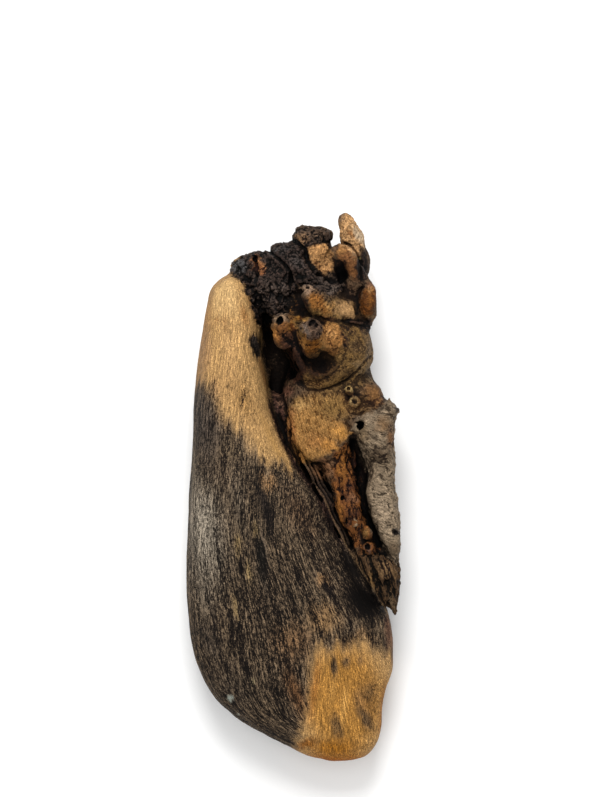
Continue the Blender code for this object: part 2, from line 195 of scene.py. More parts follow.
def depth_inside(places, outline):
    """How far each place is inside an outline, below nought outside it."""
    corners = np.array(outline, float)
    nearest = np.full(len(places), 1e9)
    crossings = np.zeros(len(places), int)
    for a, b in zip(corners, np.roll(corners, -1, axis=0)):
        way = b - a
        t = np.clip(((places - a) @ way) / (way @ way), 0, 1)
        nearest = np.minimum(nearest, np.linalg.norm(places - a - t[:, None] * way, axis=1))
        if a[1] != b[1]:
            spans = (a[1] > places[:, 1]) != (b[1] > places[:, 1])
            meet = a[0] + (places[:, 1] - a[1]) * way[0] / way[1]
            crossings += spans & (places[:, 0] < meet)
    return np.where(crossings % 2 == 1, nearest, -nearest)


def in_oval(places, centre, radii, turn=0.0):
    """How far each place is inside an oval, in shares of the oval: 1 at its centre, 0 on its edge."""
    c, s = math.cos(math.radians(turn)), math.sin(math.radians(turn))
    away = places - centre
    along = (away[:, 0] * c - away[:, 1] * s) / radii[0]
    across = (away[:, 0] * s + away[:, 1] * c) / radii[1]
    return 1 - np.hypot(along, across)


# --- shaping


def pick_only(piece):
    """Makes a piece the only one picked, and the active one."""
    bpy.ops.object.select_all(action="DESELECT")
    piece.select_set(True)
    bpy.context.view_layer.objects.active = piece


def apply_step(piece, kind, **settings):
    """Adds a modifier with its settings and applies it."""
    step = piece.modifiers.new(kind.lower(), kind)
    for name, value in settings.items():
        setattr(step, name, value)
    pick_only(piece)
    bpy.ops.object.modifier_apply(modifier=step.name)


def settle(piece):
    """Puts a piece's place, turn and size into its mesh."""
    pick_only(piece)
    bpy.ops.object.transform_apply(location=True, rotation=True, scale=True)
    return piece


def ball(centre, radii, turn=0.0):
    """An egg with three radii, turned about the upright."""
    bpy.ops.object.select_all(action="DESELECT")
    bpy.ops.mesh.primitive_ico_sphere_add(subdivisions=3, radius=MM, location=Vector(centre) * MM)
    piece = bpy.context.object
    piece.scale = radii
    piece.rotation_euler.z = math.radians(turn)
    return settle(piece)


def strand(points, radii):
    """A round tapering strand through points, its ends closed."""
    bpy.ops.object.select_all(action="DESELECT")
    bpy.ops.curve.primitive_nurbs_path_add(radius=MM)
    piece = bpy.context.object
    line = piece.data
    spline = line.splines[0]
    while len(spline.points) < len(points):
        spline.points.add(1)
    path = list(points) + [points[-1]] * (len(spline.points) - len(points))
    widths = list(radii) + [radii[-1]] * (len(spline.points) - len(radii))
    for point, place, width in zip(spline.points, path, widths):
        point.co = (*(Vector(place) * MM), 1.0)
        point.radius = width
    spline.order_u = 3
    spline.use_endpoint_u = True
    line.dimensions = "3D"
    line.bevel_depth = MM
    line.bevel_resolution = 3
    line.resolution_u = 6
    line.use_fill_caps = True
    pick_only(piece)
    bpy.ops.object.convert(target="MESH")
    apply_step(bpy.context.object, "WELD", merge_threshold=SAME_PLACE * MM)
    return settle(bpy.context.object)


def post(foot, top, radius):
    """A straight round post between two points, its far end a little rounded."""
    foot, top = Vector(foot), Vector(top)
    bpy.ops.object.select_all(action="DESELECT")
    bpy.ops.mesh.primitive_cylinder_add(
        vertices=24, radius=radius * MM, depth=(top - foot).length * MM, location=(foot + top) / 2 * MM
    )
    piece = bpy.context.object
    piece.rotation_mode = "QUATERNION"
    piece.rotation_quaternion = (top - foot).to_track_quat("Z", "Y")
    settle(piece)
    apply_step(piece, "BEVEL", width=radius * POST_ROUNDING * MM, segments=2, limit_method="ANGLE")
    return piece


def joined(body, others):
    """Adds other pieces to a body's mesh."""
    bpy.ops.object.select_all(action="DESELECT")
    for other in others:
        other.select_set(True)
    body.select_set(True)
    bpy.context.view_layer.objects.active = body
    bpy.ops.object.join()
    return body


def carve(body, cutters):
    """Cuts the cutters out of the body and removes them."""
    group = bpy.data.collections.new("carving")
    bpy.context.scene.collection.children.link(group)
    for cutter in cutters:
        for home in list(cutter.users_collection):
            home.objects.unlink(cutter)
        group.objects.link(cutter)
    apply_step(
        body, "BOOLEAN", operation="DIFFERENCE", operand_type="COLLECTION", collection=group, solver="MANIFOLD"
    )
    for cutter in cutters:
        bpy.data.objects.remove(cutter)
    bpy.data.collections.remove(group)


def seen(across, down, z):
    """The point of on_part as plain numbers."""
    return tuple(on_part(across, down, z))


class Skin:
    """Finds the wood's surface under a place on the front view."""

    def __init__(self, piece):
        mesh = piece.data
        self.tree = BVHTree.FromPolygons([v.co for v in mesh.vertices], [f.vertices for f in mesh.polygons])

    def at(self, across, down, lift=0.0):
        eye, far = on_part(across, down, ABOVE_ALL) * MM, on_part(across, down, 0.0) * MM
        hit = self.tree.ray_cast(eye, (far - eye).normalized())[0]
        z = hit.z / MM if hit is not None else DEEP_DOWN
        return on_part(across, down, z + lift)


def along_skin(skin, path, radii, lift=0.0):
    """A strand that follows the surface."""
    return strand([skin.at(across, down, lift) for across, down in path], radii)


# Stubs of the boss and crown: points across, down, height and radius from tip to root
STUBS = (
    # ribbed stub
    ((306.5, 290.5, 62.0, 4.2), (311, 296, 61.6, 5.0), (318, 304.5, 58.8, 6.3), (327, 314, 51.5, 7.6)),
    # central stub
    ((313, 327.5, 63.6, 5.6), (312, 336, 60.5, 5.4), (310.5, 346, 56.0, 5.0), (313, 352, 51.0, 4.6)),
    # fibrous cone beside it
    ((327.5, 321.5, 57.0, 3.4), (331, 329, 56.6, 5.0), (335.5, 339, 54.4, 6.0), (339, 348, 48.5, 6.6)),
    # small bored stub
    ((280, 321.5, 54.4, 4.6), (281.5, 329, 52.4, 5.6), (288, 342, 48.0, 6.2)),
    # cut stub on the right edge
    ((369.0, 288, 44.0, 3.2), (367.6, 299, 46.5, 4.6), (367.4, 308, 44.5, 4.8), (369, 316, 39.5, 4.0)),
)

# Slivers of the torn tail: root, tip, height and width
TAIL_SLIVERS = (
    ((384, 560), (397.4, 594), 45.0, 2.4), ((380, 556), (392, 590), 47.5, 1.8), ((374, 556), (386, 594), 48.5, 1.7),
    ((366, 556), (373.4, 596), 48.0, 1.8), ((370, 572), (379, 604), 46.0, 2.0), ((380, 580), (387, 609), 45.0, 2.4),
    ((386, 580), (395.4, 613.5), 43.0, 2.6), ((390, 572), (396.6, 600), 42.0, 2.2),
    ((388, 562), (398.6, 580), 46.5, 1.8), ((376, 584), (383, 607), 44.0, 2.0),
)

# Stringy wood down the step beside the neck: shift, height and width of each strand, and what they share
STEP_STRANDS = (
    (-8.6, 32.0, 1.7), (-4.6, 34.0, 1.5), (0.0, 34.5, 1.4), (3.6, 36.5, 1.2), (7.0, 35.0, 1.4), (10.5, 37.5, 1.1),
)
STEP_PATH = ((280, 392), (279, 407), (282, 421), (286, 434), (289, 446), (298, 461))
STEP_SWAY = (-2.0, 1.4, -1.2, 1.0, -0.8, 0.6)

# Dark torn wood in the gap beside the rib, in the same way
GAP_STRANDS = ((-3.6, 41.0, 1.1), (0.0, 38.0, 1.2), (4.0, 35.0, 1.3))
GAP_PATH = ((302, 454), (312, 470), (320, 485), (328, 500), (334, 515), (342, 530), (350, 546), (356, 562))
GAP_SWAY = (0.0, 1.0, -1.2, 0.8, -0.8, 1.2, -0.6, 0.0)


def first_cuts(skin):
    """Bowl, hollows, sockets and deep grooves between the forms."""
    return [
        # bowl below the central stub
        ball(seen(319.5, 366.0, 62.0), (10.6, 7.0, 13.0), -10.0),
        ball(seen(307.0, 359.0, 58.0), (4.4, 5.6, 9.0), 24.0),
        # dark front of the ribbed stub
        ball(seen(299.6, 305.0, 56.5), (4.0, 5.4, 6.5), 10.0),
        # hollow behind the crown's finger
        ball(seen(338.4, 268.0, 49.0), (3.3, 4.6, 11.0), -6.0),
        ball(seen(341.4, 275.0, 48.0), (3.2, 4.2, 11.0), 10.0),
        # groove between the finger and the pale stub behind it
        along_skin(
            skin, ((343, 243.5), (351, 247), (357.5, 255), (361, 267), (361.5, 281)), (0.9, 1.3, 1.7, 1.7, 1.3), 0.1
        ),
        # black gap left of the boss's lip
        ball(seen(288.0, 369.0, 40.0), (7.0, 5.8, 18.0), 14.0),
        # limb's inner edge eaten away below the neck
        ball(seen(309.0, 472.0, 42.0), (3.0, 8.0, 17.0), 30.0),
        ball(seen(320.0, 491.0, 42.0), (3.0, 8.5, 17.0), 28.0),
        # seam above the fibrous cone
        along_skin(skin, ((308, 317), (318, 316.5), (328, 319.5), (340, 322)), (0.9, 1.1, 1.1, 0.9), 0.2),
        # grooves round the cut stub and between the small stub and the central one
        along_skin(skin, ((376, 283), (365, 286.5), (358, 295), (356, 306), (359, 317), (368, 324)), [2.0] * 6, 0.3),
        along_skin(skin, ((292, 322), (294, 332), (296, 344), (299, 354)), [1.5] * 4, 0.6),
        # socket of the two cut twigs
        ball(seen(351.4, 395.0, 52.0), (3.2, 4.4, 6.0), 24.0),
        ball(seen(354.8, 401.6, 51.0), (4.9, 4.9, 5.6)),
    ]


def twigs_and_knots():
    """Cut twigs, knots, and the spike and hooked corner of the flange."""
    return [
        # cut twigs in the neck's socket
        post(seen(351.0, 394.0, 44.0), seen(348.4, 388.6, 53.0), 2.0),
        post(seen(355.0, 402.4, 40.0), seen(354.6, 401.8, 49.6), 2.9),
        # cut twig low on the rib, pale knot above it, the nub at the crown, and the rib's swelling
        post(seen(367.0, 550.0, 44.0), seen(368.4, 547.0, 53.4), 2.6),
        ball(seen(355.6, 524.0, 51.6), (1.8, 1.7, 1.6)),
        ball(seen(356.4, 258.0, 50.0), (1.6, 1.5, 3.0)),
        ball(seen(367.0, 533.0, 50.0), (2.6, 3.2, 3.0)),
        # spike and hooked corner of the flange
        strand([seen(389.6, 406.0, 48.0), seen(389.2, 400.0, 49.5), seen(388.6, 396.4, 50.5)], (1.5, 0.9, 0.3)),
        strand([seen(392.0, 412.0, 50.0), seen(397.0, 409.5, 50.0), seen(399.4, 412.5, 49.0)], (2.2, 1.8, 1.0)),
    ]


def scraps_and_splinters(skin):
    """Scrap of bark on the limb's edge, curled edge of the crown's bark, and splinters under the slope."""
    curl = ((294, 281), (306, 281), (316, 286), (328, 291.5), (338, 291), (343, 286))
    thick = [seen(340, 321, 49.0), seen(350, 322.5, 47.0), seen(360, 324.0, 44.0), seen(370, 326, 39.0)]
    return [
        along_skin(skin, ((253.6, 332), (252.6, 340), (256, 349), (260.4, 359)), (0.7, 2.7, 2.5, 0.9), -0.9),
        along_skin(skin, curl, (1.2, 1.1, 0.9, 0.9, 0.9, 1.2), 0.4),
        ball(seen(343.2, 284.0, 50.0), (1.5, 1.4, 2.0)),
        strand(thick, (1.6, 2.4, 2.4, 1.8)),
        strand([seen(345, 318, 50.0), seen(353, 321, 49.5), seen(361, 323.0, 46.5)], (0.7, 1.0, 0.6)),
    ]


def wavy_strand(skin, shift):
    """A strand from the small stub down to the boss's lip."""
    path = (
        (281 + shift, 342 + shift * 0.6), (285 + shift, 352), (290 + shift * 0.8, 358), (293 + shift * 0.8, 366),
        (297 + shift * 0.6, 372), (301 + shift * 0.5, 379),
    )
    return along_skin(skin, path, (1.5, 1.2, 1.0, 1.2, 1.0, 0.8), 0.1)


def step_strand(shift, z, width):
    """One of the strands down the step, its upper end sunk."""
    rise = (z - 10, z - 1.5, z, z, z, z - 2)
    line = [
        seen(u + shift * 0.9 + drift, v + shift * 0.4, up + drift)
        for (u, v), drift, up in zip(STEP_PATH, STEP_SWAY, rise)
    ]
    return strand(line, (0.5, width * 1.2, width * 0.8, width * 1.2, width, 0.8))


def gap_strand(shift, z, width):
    """One of the strands in the gap beside the rib."""
    line = [seen(u + shift + drift, v, z + drift) for (u, v), drift in zip(GAP_PATH, GAP_SWAY)]
    return strand(line, (0.6, width, width * 0.7, width * 1.1, width * 0.8, width, width * 0.8, 0.6))


def tail_sliver(root, tip, z, width):
    """A sliver that thins out to its tip."""
    middle = ((root[0] + tip[0]) / 2 + 0.6, (root[1] + tip[1]) / 2)
    return strand([seen(*root, z), seen(*middle, z + 1.2), seen(*tip, z - 0.5)], (width, width * 0.8, 0.4))


def first_forms(skin):
    """Stubs, strands, slivers and scraps that stand on the blank."""
    forms = [strand([seen(*point[:3]) for point in line], [point[3] for point in line]) for line in STUBS]
    forms += twigs_and_knots()
    forms += scraps_and_splinters(skin)
    forms += [wavy_strand(skin, shift) for shift in (0.0, 4.0, 8.0, 12.5)]
    forms += [step_strand(*row) for row in STEP_STRANDS]
    forms += [gap_strand(*row) for row in GAP_STRANDS]
    forms += [tail_sliver(*row) for row in TAIL_SLIVERS]
    return forms


# Bores and pits, cut when all forms stand: across, down and height, radii, turn
LAST_CUTS = (
    # hearts of the cut twigs
    ((348.4, 388.6, 53.6), (1.15, 1.15, 3.2), 0),
    ((354.6, 401.8, 50.4), (2.0, 2.0, 1.7), 0),
    ((368.6, 546.6, 54.0), (1.5, 1.5, 3.4), 0),
    # insect bore in the flange's head, its left rim notched
    ((360.6, 425.2, 50.0), (1.75, 2.6, 9.0), -10.0),
    ((357.4, 422.6, 49.0), (1.5, 0.6, 5.0), 0),
    ((357.2, 426.2, 49.0), (1.5, 0.5, 5.0), 0),
    # bored end of the small stub
    ((279.8, 320.2, 60.0), (1.9, 2.6, 6.0), -24.0),
    # pits in the ribbed and central stubs' ends
    ((307.6, 287.6, 65.0), (1.3, 1.0, 3.0), 0),
    ((313.0, 321.6, 69.0), (1.9, 1.3, 4.0), 20.0),
    ((316.6, 324.6, 69.0), (1.1, 1.6, 3.6), 10.0),
    ((309.8, 324.6, 69.4), (1.0, 1.0, 3.2), 0),
    # hole in the barky knob
    ((255.8, 258.0, 39.0), (1.3, 1.4, 5.0), 0),
    # small holes and the chipped pit in the flange
    ((393.3, 513.4, 48.0), (0.95, 0.95, 3.4), 0),
    ((386.4, 506.0, 49.0), (0.5, 0.5, 1.6), 0),
    ((391.4, 499.0, 48.5), (0.5, 0.6, 1.6), 0),
    ((396.4, 533.0, 47.0), (2.4, 1.5, 3.0), -28.0),
    ((402.4, 540.0, 46.0), (2.0, 1.3, 8.0), -10.0),
    # pits in the rib
    ((353.4, 511.0, 49.6), (1.7, 1.2, 2.6), 20.0),
    ((346.6, 522.0, 47.0), (1.3, 1.9, 2.8), 0),
    ((360.0, 526.0, 50.6), (1.2, 1.6, 2.6), 0),
    ((343.0, 498.0, 46.0), (1.5, 1.2, 2.6), 0),
    # slit below the socket
    ((362.4, 411.6, 50.0), (1.8, 0.7, 4.0), 34.0),
    # notches in the torn tail's end
    ((389.6, 586.0, 48.0), (0.7, 4.5, 3.0), 18.0),
    ((379.0, 584.0, 50.0), (0.8, 5.5, 3.4), 16.0),
    ((369.4, 584.0, 50.0), (0.9, 5.0, 3.8), 12.0),
)


def wood_base():
    """The node's own form on an even skin, with the small forms added and cut."""
    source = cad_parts[NODE]
    wood = bpy.data.objects.new("grown_wood", source.data.copy())
    bpy.context.scene.collection.objects.link(wood)
    pick_only(wood)
    bpy.ops.object.mode_set(mode="EDIT")
    bpy.ops.mesh.select_all(action="SELECT")
    bpy.ops.mesh.remove_doubles(threshold=NODE_WELD * MM)
    bpy.ops.object.mode_set(mode="OBJECT")
    wood.data.materials.clear()
    apply_step(wood, "REMESH", mode="VOXEL", voxel_size=FIRST_VOXEL * MM)
    apply_step(wood, "SMOOTH", factor=0.5, iterations=10)
    carve(wood, first_cuts(Skin(wood)))
    joined(wood, first_forms(Skin(wood)))
    apply_step(wood, "REMESH", mode="VOXEL", voxel_size=SECOND_VOXEL * MM)
    apply_step(wood, "SMOOTH", factor=0.5, iterations=2)
    carve(wood, [ball(seen(*place), radii, turn) for place, radii, turn in LAST_CUTS])
    apply_step(wood, "REMESH", mode="VOXEL", voxel_size=LAST_VOXEL * MM)
    return wood


# --- where things are

OUTLINES = {
    "bark": (
        (229, 270), (231, 262), (239, 256), (250, 253), (257, 247), (268, 246), (276, 238), (290, 238), (293, 230),
        (302, 226), (326, 227), (334, 235), (338, 246), (326, 246), (318, 242), (306, 248), (311, 262), (322, 273),
        (336, 279), (347, 284), (343, 290), (333, 296), (322, 293), (311, 285), (300, 285), (293, 297), (288, 312),
        (272, 317), (264, 332), (256, 324), (250, 300), (243, 284), (233, 277),
    ),
    "flange": (
        (351, 430), (355, 421), (363, 415.5), (374, 412.5), (383, 405), (388, 396), (394, 404), (404, 408),
        (405, 560), (396, 563), (383, 551), (375.5, 534), (369.5, 510), (365.5, 495), (368, 478), (366, 473),
        (360, 456), (356.5, 441),
    ),
    "rib": (
        (334, 452), (347, 444), (357, 446), (360, 470), (363, 490), (366, 508), (372, 534), (382, 552), (376, 560),
        (362, 558), (352, 540), (344, 530), (336, 512), (334, 492),
    ),
    "tail": (
        (356, 552), (366, 554), (384, 552), (404, 560), (404, 618), (384, 612), (374, 600), (360, 592), (352, 572),
    ),
    "torn": (
        (290, 391), (300, 388), (308, 391), (318, 393), (334, 389), (342, 392), (344, 404), (352, 418), (352, 432),
        (338, 448), (324, 456), (306, 466), (296, 464), (288, 452), (290, 441), (288, 424), (284, 408), (285, 397),
    ),
    "tan_face": ((308, 248), (318, 245), (328, 245), (333, 252), (332, 266), (331, 272), (320, 270), (311, 260)),
    "worn": (
        (160, 384), (198, 383), (205, 384), (213, 396), (218, 406), (222, 417), (226, 427), (236, 432), (247, 436),
        (252, 452), (264, 461), (278, 464), (290, 469), (303, 460), (332, 470), (362, 520), (402, 600), (420, 648),
        (386, 658), (377, 652), (350, 646), (337, 645), (322, 649), (310, 655), (312, 684), (306, 716), (298, 742),
        (270, 800), (160, 800),
    ),
}

# Folds that run out from the stubs' ends: centre, where they start and end, how many
STUB_FOLDS = (((279.6, 319.6), 4.5, 19, 9), ((313.0, 324.0), 6.0, 24, 11), ((307.0, 288.0), 3.5, 12, 7))

# Creases and ridges: path on the front, width in half millimetres, depth in millimetres (below nought stands out)
CREASES = (
    # round the boss's rim and inside it
    (
        ((371, 356), (364, 364), (357, 372), (349, 379), (340, 384), (329, 388.5), (318, 390.5), (308, 389.5),
         (302, 384)), 2.0, 1.5,
    ),
    (((347, 346), (345, 358), (338, 369), (329, 377), (318, 380)), 3.0, 0.7),
    (((353, 348), (352, 361), (344, 373), (333, 382), (319, 386)), 3.4, -0.6),
    # ribs of the central and small stubs
    (((299, 341), (306, 346), (316, 346), (323, 340)), 2.0, 0.5),
    (((270, 330), (275, 335), (283, 336), (289, 331)), 2.0, 0.5),
    (((341, 330), (345, 338), (344, 348)), 2.4, 0.8),
    # between the masses of bark
    (((252, 251), (256, 262), (257, 274), (252, 288)), 3.0, 1.6),
    (((266, 245), (272, 254), (284, 264), (290, 274), (290, 288)), 3.4, 2.4),
    (((289, 237), (298, 243), (305, 249), (309, 262), (317, 273), (330, 279), (345, 283)), 3.0, 2.2),
    (((243, 282), (252, 290), (262, 300)), 2.6, 1.2),
    # folds round the socket and on the neck
    (((343, 399), (345, 407), (350, 413), (358, 414), (365, 410)), 1.8, 0.8),
    (((339, 402), (341, 411), (348, 418), (356, 419)), 1.6, 0.4),
    (((364, 401), (372, 402), (381, 397)), 1.8, 0.5),
    # left step of the torn face
    (((284, 400), (286, 412), (290, 424), (290, 440), (292, 452)), 2.2, 1.0),
    # under the slope, and between rib and flange
    (((340, 321), (352, 320), (368, 321)), 1.6, 0.8),
    (((344, 324), (356, 325), (372, 327)), 1.6, 0.8),
    # round the finger at the crown
    (((339, 246), (343, 243), (350, 245), (357, 252), (361, 262), (362, 280)), 2.4, 1.2),
    (((312, 317), (322, 318), (332, 321), (341, 321)), 2.2, 0.8),
    (((330, 297), (334, 304), (334, 313)), 2.0, 0.6),
    (((345, 448), (352, 462), (356, 480), (362, 500)), 2.4, 1.0),
    # limb's checks
    (((207, 321), (214, 319), (222, 321.5), (230, 320)), 1.2, 0.5),
    (((224, 321), (225, 333)), 1.2, 0.4),
    (((243, 311), (248, 325)), 1.2, 0.4),
    (((343, 658), (345, 688)), 1.3, 0.5),
    (((352, 664), (356, 696)), 1.2, 0.4),
    (((336, 690), (334, 716)), 1.2, 0.4),
)


# Between these widths the limb's grain gets finer and coarser with it; its usual thickness
LIMB_WIDTHS = (30, 75)
LIMB_THICKNESS = 58

# The tip's grain fans out from here, this many millimetres to the radian
FAN_HEART = (14.0, -30.0)
FAN_WIDTH = 95.0


def line_distance(places, path):
    """How far each place is from a line, and its share of the way along it."""
    corners = np.array(path, float)
    lengths = np.linalg.norm(np.diff(corners, axis=0), axis=1)
    nearest = np.full(len(places), 1e9)
    along = np.zeros(len(places))
    start = 0.0
    for a, b, length in zip(corners[:-1], corners[1:], lengths):
        t = np.clip(((places - a) @ (b - a)) / length**2, 0, 1)
        away = np.linalg.norm(places - a - t[:, None] * (b - a), axis=1)
        along = np.where(away < nearest, (start + t * length) / lengths.sum(), along)
        nearest = np.minimum(nearest, away)
        start += length
    return nearest, along


def creased(places):
    """Depth of all creases at each place in millimetres, thinning out at their ends."""
    total = np.zeros(len(places))
    for path, width, depth in CREASES:
        away, along = line_distance(places, path)
        ends = smooth_step(0.0, 0.18, along) * smooth_step(1.0, 0.82, along)
        total += depth * smooth_step(width, 0.0, away) * blend(0.35, 1.0, ends)
    return total


def along_limb(points):
    """Across the limb as a share of its width and in grain's millimetres, through it, and its right edge."""
    rows = np.array(LIMB_ROWS[::-1])
    left, right, low, high = (np.interp(points[:, 1], rows[:, 0], column) for column in rows.T[1:])
    share = (points[:, 0] - left) / np.maximum(right - left, 1.0)
    through = (points[:, 2] - low) / np.maximum(high - low, 8.0) * LIMB_THICKNESS
    return share, share * np.clip(right - left, *LIMB_WIDTHS), through, right


def where_everything_is(points):
    """Each region's share at each point, with ragged edges."""
    places = front_view(points)
    share, across, through, right = along_limb(points)
    grain = np.stack([across, points[:, 1], points[:, 2]], axis=1)
    ragged = np.stack([rough(points, 4.0, 11, 4, 0.6), rough(points, 4.0, 12, 4, 0.6)], axis=1) * 3.2
    streaky = rough(grain, (5.0, 42.0, 8.0), 13, 2) * 10 + rough(grain, (1.3, 9.0, 1.6), 14, 2) * 7
    region = {name: smooth_step(-2.0, 2.0, depth_inside(places + ragged, line)) for name, line in OUTLINES.items()}
    limb = smooth_step(-1.2, 0.6, right - points[:, 0]) * (1 - region["bark"])
    front = smooth_step(12, 25, points[:, 2] + rough(points, 11.0, 61, 4, 0.6) * 12)
    for name in ("flange", "rib", "tail", "torn", "tan_face"):
        region[name] = region[name] * front * (1 - limb)
    streaked = places + np.stack([streaky * 0.25, streaky], axis=1)
    region["worn"] = smooth_step(-9.0, 9.0, depth_inside(streaked, OUTLINES["worn"])) * limb
    region["limb"] = limb
    region["front"] = front
    region["places"] = places
    region["around"] = places + ragged
    region["streaked"] = places + np.stack([streaky * 0.2, streaky * 0.7], axis=1)
    region["share"], region["across"] = share, across
    region["through"] = through
    return region


def turned(points, slope):
    """Points with their across and along turned by a slope, and stretched with it."""
    x, y, z = points.T
    return np.stack([x + y * slope, y - x * slope, z], axis=1)


def grain_way(points, region):
    """Coordinates that run across, along and through the grain, in millimetres."""
    x, y, z = points.T
    limb = np.stack([region["across"], y, region["through"]], axis=1)
    fan_x, fan_y = x - FAN_HEART[0], y - FAN_HEART[1]
    angle = np.arctan2(fan_x, -fan_y)
    tip = np.stack([angle * FAN_WIDTH + 300, -np.hypot(fan_x, fan_y), region["through"] * 0.5], axis=1)
    wave = bumps(points, 7.0, 47) * 2.4
    flange = np.stack([y + x * 0.3 + wave, x - y * 0.3, z], axis=1) * 0.6
    low = (1 - region["worn"]) * region["limb"] * (y < -60)
    way = np.where(region["flange"][:, None] > 0.5, flange, turned(points, 0.32))
    way = np.where(region["limb"][:, None] > 0.5, limb, way)
    return np.where(low[:, None] > 0.5, tip, way)


def averaged(values, pairs, rounds):
    """Values over a mesh's points, each round replaced by the mean over the neighbours."""
    count = np.bincount(pairs.ravel(), minlength=len(values)).astype(float)[:, None]
    for _ in range(rounds):
        total = np.zeros_like(values)
        for column in range(values.shape[1]):
            total[:, column] = np.bincount(pairs[:, 0], values[pairs[:, 1], column], len(values))
            total[:, column] += np.bincount(pairs[:, 1], values[pairs[:, 0], column], len(values))
        values = (values + total / count) / 2
    return values


def hollowness(mesh, points, normals, reach=14.0):
    """How shut in each point is: 0 in the open, 1 deep in a hollow that is narrower than the reach."""
    tree = BVHTree.FromPolygons([v.co for v in mesh.vertices], [f.vertices for f in mesh.polygons])
    rays = np.random.RandomState(2).normal(size=(12, 3))
    rays /= np.linalg.norm(rays, axis=1)[:, None]
    starts = (points + normals * 0.35) * MM
    blocked = np.zeros(len(points))
    for ray in rays:
        facing = normals @ ray
        ways = np.where(facing[:, None] < 0, -ray, ray)
        for index, (start, way) in enumerate(zip(starts.tolist(), ways.tolist())):
            hit = tree.ray_cast(start, way, reach * MM)
            if hit[0] is not None:
                blocked[index] += 1 - hit[3] / MM / reach * 0.6
    return np.clip(blocked / len(rays) * 1.5, 0, 1)


# --- relief


# How deep each kind of relief goes, in millimetres
BARE_GRAIN, WORN_GRAIN, LIMB_WAVES, GNAWED_EDGE = 0.08, 0.24, 0.22, 0.6
BURL_SKIN, TORN_FIBRES, TORN_GRIT, RIB_CORDS, RIB_GRIT = 0.32, 0.55, 0.3, 0.9, 0.35
WORM_TRACKS, FLANGE_SKIN, TAIL_SPLINTERS, TAIL_FIBRES = 0.3, 0.3, 0.7, 0.5
RING_DEPTH, FOLD_DEPTH, CROWN_FIBRES, CONE_FIBRES, TAN_FACE_GRIT = 0.24, 0.26, 0.55, 0.35, 0.5

# The ribbed stub's rings: their centre on the front view, and from one to the next
RING_CENTRE = (300.0, 283.0)
RING_STEP = 4.0


def bark_relief(points):
    """Crumbly plates with seams between them."""
    drift = np.stack([bumps(points, 3.0, seed) for seed in (31, 32, 33)], axis=1)
    seam, pick = scales(points + 1.2 * drift, 4.6, 34)
    fine_seam, fine_pick = scales(points + 0.5 * drift, 1.9, 35)
    chunky = smooth_step(-0.25, 0.3, rough(points, 13.0, 37))
    crust = np.minimum(seam / 0.3, 1) * blend(0.3, 1.1, chunky)
    crust += np.minimum(fine_seam / 0.3, 1) * blend(0.65, 0.3, chunky) - 1.0
    lumps = (pick - 0.5) * blend(0.5, 1.3, chunky) + (fine_pick - 0.5) * 0.5
    return crust + lumps + rough(points, 2.6, 36) * 0.5 + rough(points, 8.0, 38) * 0.8


def stub_rings(points, region):
    """Rings across the ribbed stub's flank, from -1 to 1 and nought away from it."""
    places = region["places"]
    far = np.hypot(places[:, 0] - RING_CENTRE[0], places[:, 1] - RING_CENTRE[1])
    flank = smooth_step(0.0, 0.35, in_oval(places, (320, 302), (19, 11), -42)) * region["front"]
    return flank * np.sin(far * 2 * math.pi / RING_STEP + bumps(points, 3.0, 53))


def limb_relief(move, points, way, region):
    """Grain, soft waves, and the gnawed inner edge below the neck."""
    limb, down = region["limb"], region["places"][:, 1]
    grain = bumps(way, (2.2, 40.0, 2.2), 21) * 0.5 + bumps(way, (1.2, 20.0, 1.2), 22) * 0.5
    move += limb * grain * blend(BARE_GRAIN, WORN_GRAIN, region["worn"])
    move += limb * rough(points, (9.0, 26.0, 9.0), 23) * LIMB_WAVES
    gnawed = smooth_step(0.84, 0.97, region["share"]) * smooth_step(385, 420, down)
    gnawed *= smooth_step(590, 540, down) * region["front"]
    move += limb * gnawed * rough(points, (2.2, 6.0, 3.0), 58, 3, 0.6) * GNAWED_EDGE


def burl_relief(move, points, way, region):
    """Bark, burl skin, torn wood, the rib's cords, the flange's worm tracks and the tail's splinters."""
    burl = np.clip(1 - region["limb"] - region["bark"], 0, 1)
    move += region["bark"] * bark_relief(points)
    move += burl * rough(points, 4.2, 41, 4, 0.62) * BURL_SKIN
    shed = rough(way, (1.5, 7.0, 1.5), 43, 3, 0.6)
    move += region["torn"] * (shed * TORN_FIBRES + rough(points, 2.2, 44) * TORN_GRIT)
    cord = rough(points, (2.2, 9.0, 2.2), 45, 3, 0.6)
    move += region["rib"] * (cord * RIB_CORDS + rough(points, 2.4, 46) * RIB_GRIT)
    tracks = bumps(way, (0.9, 7.0, 2.0), 48)
    move += region["flange"] * (tracks * WORM_TRACKS + rough(points, 3.2, 49) * FLANGE_SKIN)
    x, y, z = points.T
    slivers = np.stack([x * 0.93 + y * 0.37, y * 0.93 - x * 0.37, z], axis=1)
    splinters, fibres = bumps(slivers, (2.6, 18.0, 2.6), 51), rough(slivers, (1.3, 7.0, 1.3), 52)
    move += region["tail"] * (splinters * TAIL_SPLINTERS + fibres * TAIL_FIBRES)


